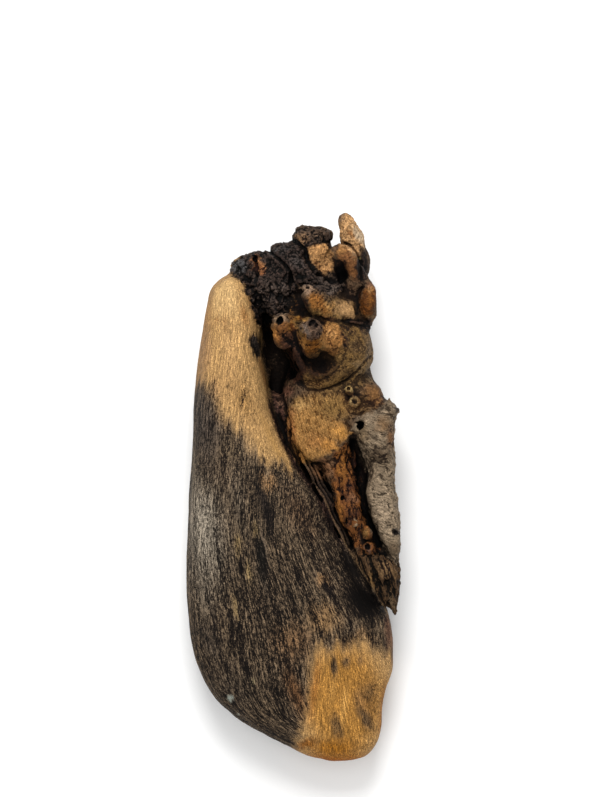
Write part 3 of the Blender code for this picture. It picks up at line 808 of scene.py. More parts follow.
def stub_relief(move, points, region):
    """Rings and folds of the stubs, and the fibres of crown, cone and the tan face in the bark."""
    places, front = region["places"], region["front"]
    move += stub_rings(points, region) * RING_DEPTH
    for centre, start, reach, count in STUB_FOLDS:
        away = places - centre
        far = np.hypot(away[:, 0], away[:, 1])
        ring = smooth_step(start, start * 1.5, far) * smooth_step(reach, reach * 0.6, far) * front
        turn = np.arctan2(away[:, 1], away[:, 0]) * count + bumps(points, 4.0, 57) * 2.5
        move += ring * np.sin(turn) * FOLD_DEPTH
    slanted = turned(points, -0.7)
    crown = smooth_step(0.0, 0.3, in_oval(places, (350, 233), (16, 24), 14))
    move += crown * rough(slanted, (1.9, 6.0, 1.9), 54) * CROWN_FIBRES
    cone = smooth_step(0.0, 0.3, in_oval(places, (332, 336), (15, 20), 26)) * front
    move += cone * rough(slanted, (1.8, 6.0, 1.8), 56) * CONE_FIBRES
    move += region["tan_face"] * rough(points, 2.4, 55) * TAN_FACE_GRIT


def relief(points, region):
    """How far the skin stands out at each point, in millimetres."""
    way = grain_way(points, region)
    move = np.zeros(len(points))
    limb_relief(move, points, way, region)
    burl_relief(move, points, way, region)
    stub_relief(move, points, region)
    return move - creased(region["places"]) * region["front"]


def read(mesh, name):
    """A mesh's places or normals as rows of numbers."""
    flat = np.zeros(len(mesh.vertices) * 3, np.float32)
    mesh.vertices.foreach_get(name, flat)
    return flat.reshape(-1, 3).astype(float)


def shaped_wood():
    """The wood's skin with all its relief, thinned to at most the set count of triangles."""
    wood = wood_base()
    mesh = wood.data
    points, normals = read(mesh, "co") / MM, read(mesh, "normal")
    region = where_everything_is(points)
    above = smooth_step(0.0, 2.0, points[:, 2])
    points += normals * (relief(points, region) * above)[:, None]
    low, high = (np.array(corner) / MM for corner in cad_box)
    points = np.clip(points, low + BOX_MARGIN, high - BOX_MARGIN)
    mesh.vertices.foreach_set("co", (points * MM).ravel().astype(np.float32))
    mesh.update()
    mesh.calc_loop_triangles()
    share = MOST_TRIANGLES / len(mesh.loop_triangles)
    if share < 1:
        apply_step(wood, "DECIMATE", ratio=share, use_collapse_triangulate=True)
    return wood


# --- colour

# Tones are linear red, green and blue, and this is full brightness
FULL_TONE = 1000

BLACK = (5, 3.5, 3)
UMBER = (14, 9, 6)
DARK_BROWN = (28, 14, 7)
RUST = (100, 32, 8)
TAN = (335, 195, 75)
GREY_BROWN = (70, 46, 28)


class Mark:
    """An oval patch on the front: its place, size, turn and soft share, then its dark and light tone,
    share of light and how strongly it varies. What isn't given stays as it was."""

    def __init__(self, place, size, turn=0.0, soft=0.7, dark=None, light=None, share=None, vary=None):
        self.place, self.size, self.turn, self.soft = place, size, turn, soft
        self.tones = dict(dark=dark, light=light, share=share, vary=vary)


# Bare upper limb, with painted shade on its inner edge where it rounds away from the light, a painted highlight along
# its rounded edge by the cleft, and faint bands
LIMB_MARKS = (
    Mark((224, 296), (19, 34), light=(420, 265, 112), share=0.91, vary=0.46),
    Mark((228, 350), (12, 70), 4, 1.0, light=(360, 210, 84), share=0.88),
    Mark((205, 345), (11, 50), 3, 0.9, light=(290, 165, 72), share=0.8, vary=0.5),
    Mark((216, 322), (13, 3), 2, 0.8, dark=RUST, light=(250, 135, 50), share=0.66),
    Mark((226, 326), (4, 12), 0, 0.9, light=(270, 150, 58), share=0.74),
    # painted shade: the inner edge rounding away from the light
    Mark((254, 305), (8, 28), 16, 0.9, dark=DARK_BROWN, light=(130, 56, 17), share=0.68, vary=0.4),
    Mark((245, 317), (6, 15), 14, 0.8, dark=DARK_BROWN, light=(240, 120, 40), share=0.74),
    Mark((263, 372), (4, 26), 14, 0.8, light=(190, 95, 33), share=0.76),
    Mark((230, 384), (22, 40), 10, 1.0, dark=DARK_BROWN, light=(315, 180, 70), share=0.74, vary=0.4),
    Mark((247, 410), (20, 46), 16, 0.9, dark=DARK_BROWN, light=(310, 178, 70), share=0.66, vary=0.45),
    # painted highlight: the rounded edge by the cleft, facing the light
    Mark((274, 444), (5, 56), 26, 0.9, light=(370, 210, 72), share=0.9, vary=0.3),
    Mark((216, 392), (8, 16), 10, 0.9, dark=DARK_BROWN, light=(240, 135, 56), share=0.56),
    Mark((243, 400), (15, 26), 10, 0.9, dark=(20, 10, 6), light=(250, 138, 48), share=0.55, vary=0.5),
)

# Weathered paddle: silver flank, black streaks, brown blotches and the shade under the tail
WORN_MARKS = (
    Mark((205, 430), (26, 60), 8, 0.9, (7, 5, 4), (72, 53, 39), 0.42, 0.5),
    Mark((190, 470), (12, 60), 0, 0.9, light=(110, 85, 58), share=0.46),
    Mark((206, 545), (34, 90), 0, 1.0, (10, 8, 6), (165, 135, 100), 0.51, 0.62),
    Mark((202, 518), (18, 52), 0, 1.0, light=(235, 196, 148), share=0.55),
    Mark((238, 500), (14, 50), 6, 1.0, light=(94, 70, 47), share=0.44),
    Mark((232, 452), (20, 12), 30, 0.9, light=(130, 90, 52), share=0.48),
    Mark((266, 510), (8, 46), 12, 0.9, BLACK, (24, 17, 13), 0.26, 0.4),
    Mark((262, 560), (10, 50), 6, 0.9, (5, 4, 3), (58, 44, 33), 0.32, 0.4),
    Mark((300, 515), (18, 46), 28, 1.0, (10, 6, 4), (125, 74, 40), 0.45, 0.5),
    Mark((268, 482), (14, 14), 30, 0.9, light=(200, 110, 48), share=0.48),
    Mark((256, 532), (5, 11), 8, 0.9, light=(150, 100, 44), share=0.64),
    Mark((239, 547), (7, 14), 0, 0.9, light=(150, 100, 44), share=0.6),
    Mark((249, 575), (4, 15), 5, 0.9, light=(200, 135, 60), share=0.68),
    Mark((236, 610), (4, 20), 4, 0.9, light=(180, 120, 54), share=0.68),
    Mark((240, 567), (5, 9), 0, 0.8, BLACK, (20, 14, 11), 0.2),
    Mark((323, 580), (10, 10), 30, 0.9, light=(210, 115, 50), share=0.58),
    Mark((328, 589), (6, 7), 0, 0.8, BLACK, (20, 14, 11), 0.22),
    Mark((324, 618), (26, 24), -20, 1.0, (13, 7, 4), (200, 115, 50), 0.54, 0.5),
    Mark((292, 640), (34, 34), 20, 1.0, (10, 6, 4), (140, 78, 37), 0.48, 0.5),
    Mark((360, 640), (30, 10), 0, 0.9, (10, 6, 3), (125, 72, 34), 0.45),
    Mark((364, 600), (28, 32), 20, 0.8, (2, 1.3, 1), (12, 8, 5.5), 0.2, 0.4),
    Mark((350, 565), (12, 26), 24, 0.9, (3, 2, 1.5), (20, 13, 9), 0.26, 0.4),
    Mark((296, 694), (14, 40), 20, 0.9, (13, 6, 3), (100, 48, 20), 0.5),
    Mark((232, 690), (44, 44), 30, 1.0, (6, 4, 3), (80, 57, 37), 0.4, 0.5),
    Mark((208, 636), (18, 40), 20, 1.0, (6, 4.5, 3.5), (62, 45, 31), 0.38, 0.55),
    Mark((254, 684), (3, 9), 0, 0.8, light=(170, 135, 74), share=0.68),
    Mark((390, 634), (7, 30), 0, 0.8, (30, 12, 8), (130, 66, 36), 0.55),
)

# Orange tip with its dark flecks
TIP_MARKS = (
    Mark((344, 700), (50, 70), 0, 0.5, (85, 34, 7), (300, 142, 30), 0.82, 0.62),
    Mark((334, 667), (5, 14), 4, 0.6, (34, 20, 10), (100, 58, 26), 0.42),
    Mark((346, 661), (7, 9), 0, 0.7, (50, 30, 14), (140, 76, 30), 0.5),
    Mark((361, 662), (6, 9), 0, 0.9, light=(180, 95, 34), share=0.56),
    Mark((368, 700), (14, 40), 4, 1.0, light=(170, 82, 22), share=0.66),
    Mark((365, 718), (8, 20), 30, 0.6, (50, 30, 14), (115, 66, 29), 0.48, 0.5),
    Mark((337, 728), (9, 22), 14, 0.7, (65, 36, 14), (145, 78, 28), 0.48, 0.5),
    Mark((370, 692), (11, 13), -20, 0.9, (75, 40, 14), (170, 88, 29), 0.52),
    Mark((314, 690), (7, 46), -8, 0.9, light=(250, 100, 20), share=0.7),
    Mark((335, 764), (54, 15), 0, 0.7, (70, 19, 2), (250, 80, 6), 0.75),
    Mark((306, 744), (16, 7), 24, 0.8, (35, 14, 5), (170, 64, 13), 0.6),
    Mark((383, 710), (6, 40), -4, 0.8, light=(240, 100, 20), share=0.7),
    Mark((359, 700), (10, 20), 4, 1.0, light=(200, 100, 32), share=0.7),
    Mark((333, 748), (42, 14), 0, 0.9, (80, 26, 3), (250, 98, 10), 0.76),
    Mark((344, 706), (5, 30), -6, 1.0, light=(400, 205, 52), share=0.88),
    Mark((332, 690), (6, 20), -6, 1.0, light=(380, 188, 44), share=0.86),
)

# Scrap of bark on the limb's edge, and specks of lichen
SCRAP_MARKS = (
    Mark((255.6, 345), (6.6, 15.5), 14, 0.3, (4, 3, 2), (32, 22, 17), 0.3, 0.6),
    Mark((231, 697), (3.6, 4.2), 0, 0.3, (80, 85, 70), (220, 235, 200), 0.88, 0.3),
    Mark((238, 714), (1.8, 1.8), 0, 0.4, light=(150, 150, 125), share=0.85),
    Mark((265, 712), (1.6, 1.6), 0, 0.4, light=(130, 130, 110), share=0.8),
)

# Bark at the crown, with the rusty hole in its left knob
BARK_MARKS = (
    Mark((262, 300), (17, 20), 30, 0.8, (3, 2, 2), (45, 31, 24), 0.44),
    Mark((279, 290), (24, 12), -20, 0.8, light=(47, 33, 26), share=0.44),
    Mark((239, 266), (13, 11), 0, 0.7, light=(46, 43, 42), share=0.48),
    Mark((258, 266), (6, 14), 24, 0.6, (30, 9, 5), (170, 66, 24), 0.55),
    Mark((262, 264), (3, 9), 20, 0.8, light=(170, 75, 28), share=0.6),
    Mark((303, 238), (9, 7), 10, 0.6, (20, 10, 6), (180, 100, 48), 0.58),
    Mark((314, 234), (24, 9), 0, 0.8, (6, 4, 3), (60, 37, 23), 0.42),
    Mark((327, 280), (18, 10), 24, 0.7, (6, 4, 3), (50, 35, 27), 0.5, 0.4),
    Mark((333, 289), (12, 4), 20, 0.8, light=(85, 62, 48), share=0.55),
    Mark((297, 262), (8, 13), 20, 0.9, light=(40, 31, 27), share=0.42),
    Mark((285, 250), (9, 9), 0, 0.9, light=(22, 16, 14), share=0.36),
    Mark((262, 320), (17, 14), 0, 0.8, (3, 2, 1.5), (14, 8, 6), 0.3),
)

# Burl, from the boss to the crown and down to the socket
BURL_MARKS = (
    # boss: pitted grey-tan skin, browner to the right
    Mark((334, 346), (58, 54), 0, 0.3, (34, 18, 7), (112, 62, 20), 0.5, 0.6),
    Mark((372, 345), (12, 34), 0, 0.9, (28, 17, 9), (105, 66, 33), 0.5, 0.6),
    Mark((366, 372), (14, 14), 0, 0.9, light=(125, 80, 36), share=0.54),
    Mark((356, 346), (9, 14), 0, 0.9, light=(70, 40, 17), share=0.44),
    Mark((349, 372), (12, 6), -34, 0.9, light=(72, 40, 16), share=0.42),
    Mark((358, 364), (9, 5), -40, 0.9, light=(165, 105, 50), share=0.62),
    Mark((316, 384), (16, 9), 0, 0.8, (45, 20, 7), (140, 75, 24), 0.6, 0.4),
    Mark((334, 404), (50, 18), 0, 0.7, (55, 26, 9), (155, 83, 27), 0.58, 0.6),
    Mark((374, 396), (15, 18), 30, 0.8, (30, 12, 6), (135, 64, 22), 0.5, 0.4),
    # slope behind the ribbed stub, with painted shadow in the gap below it
    Mark((347, 311), (20, 12), -24, 0.7, (90, 45, 18), (270, 153, 64), 0.68, 0.5),
    # painted shadow: the dark gap under the slope
    Mark((362, 322), (14, 8), 0, 0.8, (15, 8, 5), (100, 55, 28), 0.42),
    Mark((348, 329), (12, 4), -20, 0.8, (8, 4, 3), (50, 26, 12), 0.4),
    # fibrous cone
    Mark((332, 337), (15, 21), 26, 0.6, (70, 25, 7), (200, 90, 26), 0.62, 0.6),
    Mark((345, 341), (4, 15), 20, 0.8, (8, 4, 3), (50, 22, 10), 0.35),
    Mark((330, 352), (10, 6), 0, 0.8, (20, 7, 2), (100, 42, 12), 0.5),
    Mark((331, 333), (7, 11), 26, 0.9, (120, 48, 14), (310, 155, 52), 0.72),
    Mark((322, 320), (7, 5), -30, 0.8, light=(240, 110, 30), share=0.62),
    # shade below the ribbed stub
    Mark((325, 318), (16, 4), -14, 0.8, (12, 4, 2), (90, 38, 12), 0.44),
    # ribbed stub, with a painted highlight on its flank's right edge and painted shade on its front
    Mark((319, 303), (20, 9), -42, 0.6, (50, 17, 4), (165, 67, 15), 0.62, 0.6),
    # painted highlight: the right edge of the flank
    Mark((328, 305), (9, 6), -42, 0.8, light=(250, 130, 42), share=0.66),
    # painted shade: the stub's dark front
    Mark((301, 306), (9, 12), 14, 0.5, (3, 1.2, 0.8), (16, 6, 3), 0.35, 0.4),
    Mark((293, 308), (3, 13), -16, 0.8, light=(160, 65, 14), share=0.5),
    Mark((298, 318), (10, 3.6), 0, 0.8, dark=RUST, light=(220, 100, 20), share=0.6),
    Mark((306.5, 289.5), (8.4, 6.0), -20, 0.4, (12, 7, 5), (155, 98, 62), 0.5, 0.6),
    # small bored stub, its left flank lightened as painted light
    Mark((286, 336), (17, 20), 24, 0.6, (12, 4, 2), (120, 48, 14), 0.45, 0.6),
    # painted light: the lit left flank
    Mark((273, 333), (7, 10), 24, 0.8, (130, 48, 13), (340, 150, 40), 0.76, 0.4),
    Mark((291, 326), (6, 8), 0, 0.8, dark=RUST, light=(200, 88, 20), share=0.55),
    Mark((279.6, 318), (9.5, 7), 20, 0.45, (18, 10, 6), (170, 108, 64), 0.5, 0.6),
    # central stub: charred end on a tan collar, with a painted highlight on the end's left side and painted shade
    # below it
    Mark((310, 344), (14, 16), -6, 0.5, (16, 6, 1.5), (98, 36, 6), 0.52, 0.6),
    Mark((303, 344), (6, 12), -16, 0.9, dark=(50, 18, 5), light=(270, 125, 32), share=0.62),
    Mark((312.5, 328), (12.6, 12), 0, 0.25, (6, 3, 2), (64, 38, 24), 0.42, 0.7),
    # painted highlight: the end's left side
    Mark((306, 330), (4, 7), 20, 0.8, light=(110, 82, 64), share=0.54),
    # painted shade: the end's underside
    Mark((316, 336), (6, 4), 0, 0.8, light=(50, 28, 18), share=0.4),
    Mark((314, 322.5), (7, 4.6), 0, 0.6, (3, 2, 1.5), (12, 7, 5), 0.25),
    # bowl and strands: the bowl's dark is a stain and painted shadow of the central stub both, a strand has a painted
    # highlight, and the black gap left of the lip is painted shade
    Mark((293, 357), (15, 32), 12, 0.3, (3, 1.4, 1), (36, 15, 8), 0.36, 0.7),
    # stain and painted shadow of the central stub in the bowl
    Mark((319, 367.5), (29, 20), -10, 0.7, (4, 1.5, 0.8), (20, 8, 3.2), 0.42, 0.6),
    Mark((295, 366), (11, 22), 10, 0.5, (2, 1, 0.8), (20, 7.5, 4), 0.36, 0.7),
    Mark((299, 366), (8, 17), 12, 0.7, (2, 1, 0.6), (13, 5, 2.5), 0.32, 0.6),
    # painted highlight on a strand
    Mark((292, 366), (2.6, 12), 30, 0.9, (6, 2.5, 1.5), (45, 18, 8), 0.42, 0.7),
    # painted shade: the black gap left of the boss's lip
    Mark((286, 372), (14, 12), 0, 0.6, (2, 1, 1), (10, 5, 3), 0.3, 0.4),
    # crown stubs, with a painted highlight on the pale stub's right slope and painted shade in the hollow behind the
    # finger and right of it
    Mark((350, 234), (17, 26), 14, 0.4, (180, 88, 35), (330, 185, 80), 0.6, 0.7),
    # painted highlight: the pale stub's lit right slope
    Mark((359, 236), (5, 18), 24, 0.8, (50, 34, 22), (360, 260, 165), 0.62, 0.4),
    Mark((341, 217), (5, 7), 20, 0.7, (20, 10, 6), (100, 60, 35), 0.45),
    Mark((351, 234), (3, 10), 30, 0.9, dark=RUST, light=(170, 75, 26), share=0.5),
    Mark((348, 262), (10, 27), 30, 0.5, (28, 10, 4), (130, 54, 19), 0.54, 0.5),
    Mark((341, 250), (8, 7), 0, 0.8, (60, 24, 8), (220, 105, 34), 0.66),
    # painted shade: the hollow behind the finger
    Mark((340, 272), (9, 13), -10, 0.5, (2, 1, 1), (6, 3, 2), 0.2, 0.2),
    # painted shadow: right of the finger
    Mark((361.5, 267), (7, 21), -4, 0.4, (2, 1.5, 1), (18, 10, 7), 0.32),
    Mark((356.4, 258), (2.4, 2.4), 0, 0.4, light=(240, 180, 75), share=0.85),
    Mark((350, 292), (12, 14), 0, 0.8, (10, 5, 3), (75, 42, 23), 0.42),
    # cut stub on the right edge, with a painted highlight on its right side and painted shadow under the slope beside
    # it
    Mark((368, 302), (11, 19), -8, 0.35, (16, 5, 1.5), (60, 20, 4), 0.48, 0.7),
    # painted highlight: the stub's lit right side
    Mark((371, 300), (4.5, 14), -8, 0.9, light=(120, 45, 9), share=0.56),
    Mark((370, 289), (5, 6), 0, 0.9, light=(220, 110, 38), share=0.6),
    Mark((371, 285), (7, 5), 0, 0.7, DARK_BROWN, (110, 55, 30), 0.5),
    Mark((357, 305), (3, 17), 0, 0.7, (3, 2, 1), (30, 16, 9), 0.3),
    # painted shadow: the gap under the slope, beside the cut stub
    Mark((353, 322), (15, 4), -6, 0.6, (3, 2, 1.5), (30, 15, 9), 0.32, 0.6),
    Mark((367, 326), (10, 9), 0, 0.5, (3, 2, 1.5), (26, 14, 9), 0.32, 0.6),
    # step and ledge left of the neck, and the recess under it, with painted shade in the gap under the plate and
    # along the limb's edge
    Mark((284, 391), (14, 8), 10, 0.7, (20, 8, 5), (125, 56, 34), 0.62, 0.5),
    Mark((280, 424), (15, 44), 14, 0.4, (4, 2, 1.5), (44, 20, 14), 0.42, 0.6),
    Mark((322, 470), (15, 15), 0, 0.8, (50, 21, 9), (270, 125, 56), 0.64, 0.6),
    # painted shade: the black gap under the plate
    Mark((312, 484), (15, 16), 40, 0.8, (3, 2, 1.5), (10, 6, 4), 0.3),
    # painted shade: the gap along the limb's inner edge
    Mark((331, 508), (10, 50), 27, 0.6, (4, 2.5, 2), (30, 18, 12), 0.42, 0.7),
    Mark((281, 399), (8, 11), 0, 0.8, (20, 9, 6), (150, 78, 48), 0.56, 0.6),
    # brown flank between rib and flange
    Mark((363, 464), (11, 30), 4, 0.8, (12, 6, 4), (100, 50, 32), 0.46, 0.5),
    # socket of the cut twigs, its dark painted shade and the upper twig's painted shadow, with a painted highlight on
    # the lower twig's ring
    # painted shade in the socket, with the upper twig's painted shadow
    Mark((353, 400), (11, 13), 10, 0.6, (6, 2, 1), (45, 20, 8), 0.36),
    Mark((354.6, 401.8), (6.2, 6.2), 0, 0.2, (20, 10, 4), (110, 66, 26), 0.55),
    # painted highlight: the lit side of the lower twig's ring
    Mark((351.4, 398.6), (2.4, 4.4), 40, 0.8, light=(300, 205, 88), share=0.85),
    Mark((354.8, 402), (3.4, 3.4), 0, 0.6, (4, 2, 1), (35, 15, 5), 0.3),
    Mark((348.6, 388.6), (4.2, 4.2), 0, 0.3, (40, 20, 8), (270, 180, 70), 0.7),
)

# Torn plate of the neck
TORN_MARKS = (
    Mark((310, 434), (34, 44), 0, 0.5, (130, 55, 13), (225, 114, 34), 0.66, 0.6),
    Mark((332, 408), (28, 22), 0, 1.0, (65, 31, 9), (158, 86, 26), 0.64),
    Mark((316, 442), (22, 14), -20, 0.9, light=(220, 102, 30), share=0.68),
    Mark((341, 432), (16, 13), -24, 0.9, (160, 65, 12), (400, 190, 45), 0.82),
    Mark((330, 446), (18, 8), -24, 0.9, (120, 45, 9), light=(330, 150, 35), share=0.76),
    Mark((293, 424), (3, 18), 8, 0.9, light=(330, 175, 58), share=0.72),
    Mark((302, 404), (13, 9), 0, 0.9, light=(300, 172, 60), share=0.8),
    Mark((291, 432), (6, 34), 0, 0.8, (40, 14, 5), (220, 92, 28), 0.58, 0.5),
    Mark((297, 457), (13, 11), 24, 0.9, (50, 17, 5), (220, 92, 20), 0.6),
)

# Knotted rib with its pits
RIB_MARKS = (
    Mark((342, 466), (7, 24), 0, 0.8, (28, 9, 2), (145, 56, 11), 0.6, 0.6),
    Mark((352, 498), (8, 9), 0, 0.8, light=(150, 68, 31), share=0.5),
    Mark((354, 513), (12, 8), 20, 0.6, (3, 1, 1), (45, 16, 6), 0.3),
    Mark((347, 524), (6, 7), 0, 0.7, (3, 1, 1), (40, 15, 6), 0.3),
    Mark((344, 496), (7, 7), 0, 0.7, (3, 1, 1), (50, 18, 7), 0.34),
    Mark((362, 540), (6, 8), 0, 0.8, (4, 2, 1), (50, 22, 10), 0.36),
    Mark((350, 486), (10, 6), 10, 0.8, (3, 1, 1), (50, 18, 8), 0.36),
    Mark((366, 533), (7, 8), 0, 0.8, light=(130, 66, 20), share=0.6),
    Mark((355.6, 524), (3, 3), 0, 0.3, light=(280, 200, 120), share=0.95, vary=0.1),
    Mark((339, 506), (4, 24), 10, 0.8, light=(190, 75, 17), share=0.64),
    Mark((368, 548), (5.5, 5.5), 0, 0.4, (12, 5, 5), (100, 50, 30), 0.46),
    Mark((356, 470), (5, 26), 6, 0.8, (3, 2, 2), (30, 12, 10), 0.4),
)

# Torn tail, with painted shadow below its end
TAIL_MARKS = (
    Mark((387, 570), (15, 10), -34, 0.8, (12, 6, 4), (130, 76, 34), 0.5, 0.6),
    Mark((372, 585), (4, 20), 14, 0.8, light=(130, 72, 26), share=0.5),
    # painted shadow below the tail's end
    Mark((392, 602), (6, 15), 10, 0.8, (6, 4, 2), (70, 45, 24), 0.48),
)

# Grey flange, browner at its head
FLANGE_MARKS = (
    Mark((362, 434), (13, 14), 0, 0.8, (36, 23, 13), (124, 84, 47), 0.5, 0.65),
    Mark((384, 424), (15, 13), 0, 0.9, (30, 16, 9), (128, 75, 37), 0.5, 0.5),
    Mark((391, 438), (7, 18), 0, 0.8, (21, 9, 3), (119, 58, 25), 0.5),
    Mark((380, 456), (19, 17), 0, 0.8, (9, 5, 3), (55, 37, 22), 0.42, 0.5),
    Mark((385, 508), (17, 38), 0, 0.9, (45, 32, 20), (196, 145, 95), 0.52, 0.68),
    Mark((396, 550), (10, 11), 0, 0.8, (12, 8, 5), (89, 61, 37), 0.46),
    Mark((398, 409), (5, 6), 0, 0.7, BLACK, (30, 24, 21), 0.4),
    Mark((396, 533), (6, 4), 28, 0.6, BLACK, (30, 25, 21), 0.3),
)


class Coat:
    """The dark and light tone of each point, how much of it is light, and how strongly it varies."""

    def __init__(self, count):
        self.dark = np.tile(np.array(UMBER), (count, 1))
        self.light = np.tile(np.array(GREY_BROWN), (count, 1))
        self.share = np.full(count, 0.5)
        self.vary = np.full(count, 0.4)

    def lay(self, where, dark=None, light=None, share=None, vary=None):
        for name, value in (("dark", dark), ("light", light), ("share", share), ("vary", vary)):
            if value is not None:
                old = getattr(self, name)
                amount = where[:, None] if old.ndim == 2 else where
                setattr(self, name, blend(old, np.asarray(value, float), amount))

    def mark(self, marks, places, within):
        for mark in marks:
            where = smooth_step(0.0, mark.soft, in_oval(places, mark.place, mark.size, mark.turn))
            self.lay(where * within, **mark.tones)


def coat_burl(coat, region):
    """Burl, bark, torn wood, rib, tail and flange, each with its marks."""
    around, front = region["around"], region["front"]
    burl = 1 - region["limb"]
    coat.lay(burl, (9, 5, 3), (60, 36, 20), 0.45, 0.5)
    coat.mark(BURL_MARKS, around, burl * front * (1 - region["bark"]))
    coat.lay(region["bark"], (2, 1.5, 1), (27, 17, 13), 0.42, 0.8)
    coat.mark(BARK_MARKS, around, region["bark"])
    coat.lay(region["tan_face"], (110, 45, 17), (340, 175, 66), 0.76, 0.6)
    coat.mark(TORN_MARKS, around, region["torn"])
    coat.lay(region["rib"], (12, 4, 2), (125, 45, 12), 0.46, 0.5)
    coat.mark(RIB_MARKS, around, region["rib"])
    coat.lay(region["tail"], (3, 2, 1), (45, 24, 11), 0.4, 0.7)
    coat.mark(TAIL_MARKS, around, region["tail"])
    coat.lay(region["flange"], (47, 32, 20), (160, 117, 75), 0.5, 0.5)
    coat.mark(FLANGE_MARKS, around, region["flange"])


def coat_limb(coat, region):
    """Bare and worn wood, its marks drawn out along the grain, with painted shade on the limb's left edge."""
    limb, worn = region["limb"], region["worn"]
    edge = smooth_step(0.16, 0.0, region["share"])
    low = limb * (1 - worn) * smooth_step(600, 640, region["places"][:, 1])
    coat.lay(limb, (85, 40, 16), TAN, 0.86, 0.56)
    coat.mark(LIMB_MARKS, region["streaked"], limb)
    # painted shade: the limb's left edge, rounding away from the light, turns darker orange-brown
    coat.lay(limb * edge * 0.6, light=(200, 105, 42), share=0.78)
    coat.lay(worn, (7, 4.5, 3.5), (102, 70, 42), 0.42, 0.55)
    coat.mark(WORN_MARKS, region["streaked"], worn)
    coat.mark(TIP_MARKS, blend(region["streaked"], region["places"], 0.6), low)
    down = region["streaked"][:, 1]
    fringe = smooth_step(0.925, 0.98, region["share"])
    fringe = fringe * smooth_step(385, 410, down) * smooth_step(560, 520, down)
    coat.lay(fringe * limb, (4, 2, 1.5), (40, 18, 13), 0.36, 0.6)
    coat.mark(SCRAP_MARKS, region["around"], limb)


# How much painted shade darkens the deepest hollows, and how much painted shade follows broad swells
HOLLOW_SHADE = 0.92
SWELL_SHADE = 0.9

# How much of each region's pattern runs along the grain
GRAIN_SHARES = (("limb", 1.0), ("tail", 0.8), ("flange", 0.9), ("rib", 0.5), ("torn", 0.75))


def store(mesh, name, kind, values):
    """Keeps values on a mesh's points under a name."""
    attribute = mesh.attributes.new(name, kind, "POINT")
    field = {"FLOAT": "value", "FLOAT_VECTOR": "vector", "FLOAT_COLOR": "color"}[kind]
    attribute.data.foreach_set(field, np.ascontiguousarray(values, np.float32).ravel())


def bulges(mesh, points, normals):
    """How far each point stands out of its near and its wider surroundings, and how shut in it is."""
    pairs = np.zeros(len(mesh.edges) * 2, np.int32)
    mesh.edges.foreach_get("vertices", pairs)
    pairs = pairs.reshape(-1, 2)
    near = averaged(points, pairs, 5)
    wide = averaged(near, pairs, 24)
    stands = np.einsum("ij,ij->i", points - near, normals)
    swells = np.einsum("ij,ij->i", near - wide, normals)
    return stands, swells, averaged(hollowness(mesh, points, normals)[:, None], pairs, 2)[:, 0]


def paint_light_by_form(coat, points, region, stands, swells):
    """Paints light and shade by form: what stands out shows more of its light tone, and creases less."""
    rough_parts = 1 - region["limb"]
    crumbly = np.clip(region["bark"] + region["tail"], 0, 1)
    coat.share += np.clip(stands * blend(1.0, 2.0, crumbly), -0.3, 0.3) * blend(0.3, 1.0, rough_parts)
    coat.share += np.clip(swells * 0.4, -0.25, 0.2) * rough_parts
    coat.share -= smooth_step(0.3, 1.6, creased(region["places"]) * region["front"]) * 0.45
    coat.share += stub_rings(points, region) * 0.22
    coat.share = np.clip(coat.share, 0.0, 1.0)


def coloured(wood):
    """Keeps each point's tones with their painted shade, grain and bark on the mesh for its material."""
    mesh = wood.data
    points, normals = read(mesh, "co") / MM, read(mesh, "normal")
    region = where_everything_is(points)
    coat = Coat(len(points))
    coat_burl(coat, region)
    coat_limb(coat, region)
    stands, swells, shut = bulges(mesh, points, normals)
    paint_light_by_form(coat, points, region, stands, swells)
    # painted shade: darker where the skin is shut in, and in the burl's hollows between broad swells
    painted_shade = 1 - HOLLOW_SHADE * smooth_step(0.30, 0.80, shut)
    painted_shade *= np.exp(np.clip(swells * SWELL_SHADE, -0.8, 0.04) * (1 - region["limb"]))
    painted_shade = painted_shade[:, None] / FULL_TONE
    lines = sum(region[name] * share for name, share in GRAIN_SHARES)
    whole = np.ones(len(points))
    store(mesh, "dark_tone_with_shade", "FLOAT_COLOR", np.column_stack([coat.dark * painted_shade, whole]))
    store(mesh, "light_tone_with_shade", "FLOAT_COLOR", np.column_stack([coat.light * painted_shade, whole]))
    store(mesh, "marks", "FLOAT_COLOR", np.column_stack([coat.share, coat.vary, np.clip(lines, 0, 1), whole]))
    store(mesh, "bark", "FLOAT", region["bark"])
    store(mesh, "way", "FLOAT_VECTOR", grain_way(points, region))
    return wood


# --- materials

# How far noise is spread about nought, the fine bump's share and height in millimetres, and the wood's gleam
NOISE_SPREAD = 5.5
BUMP_STRENGTH = 0.6
BUMP_HEIGHT = 0.32
WOOD_GLEAM = 0.08


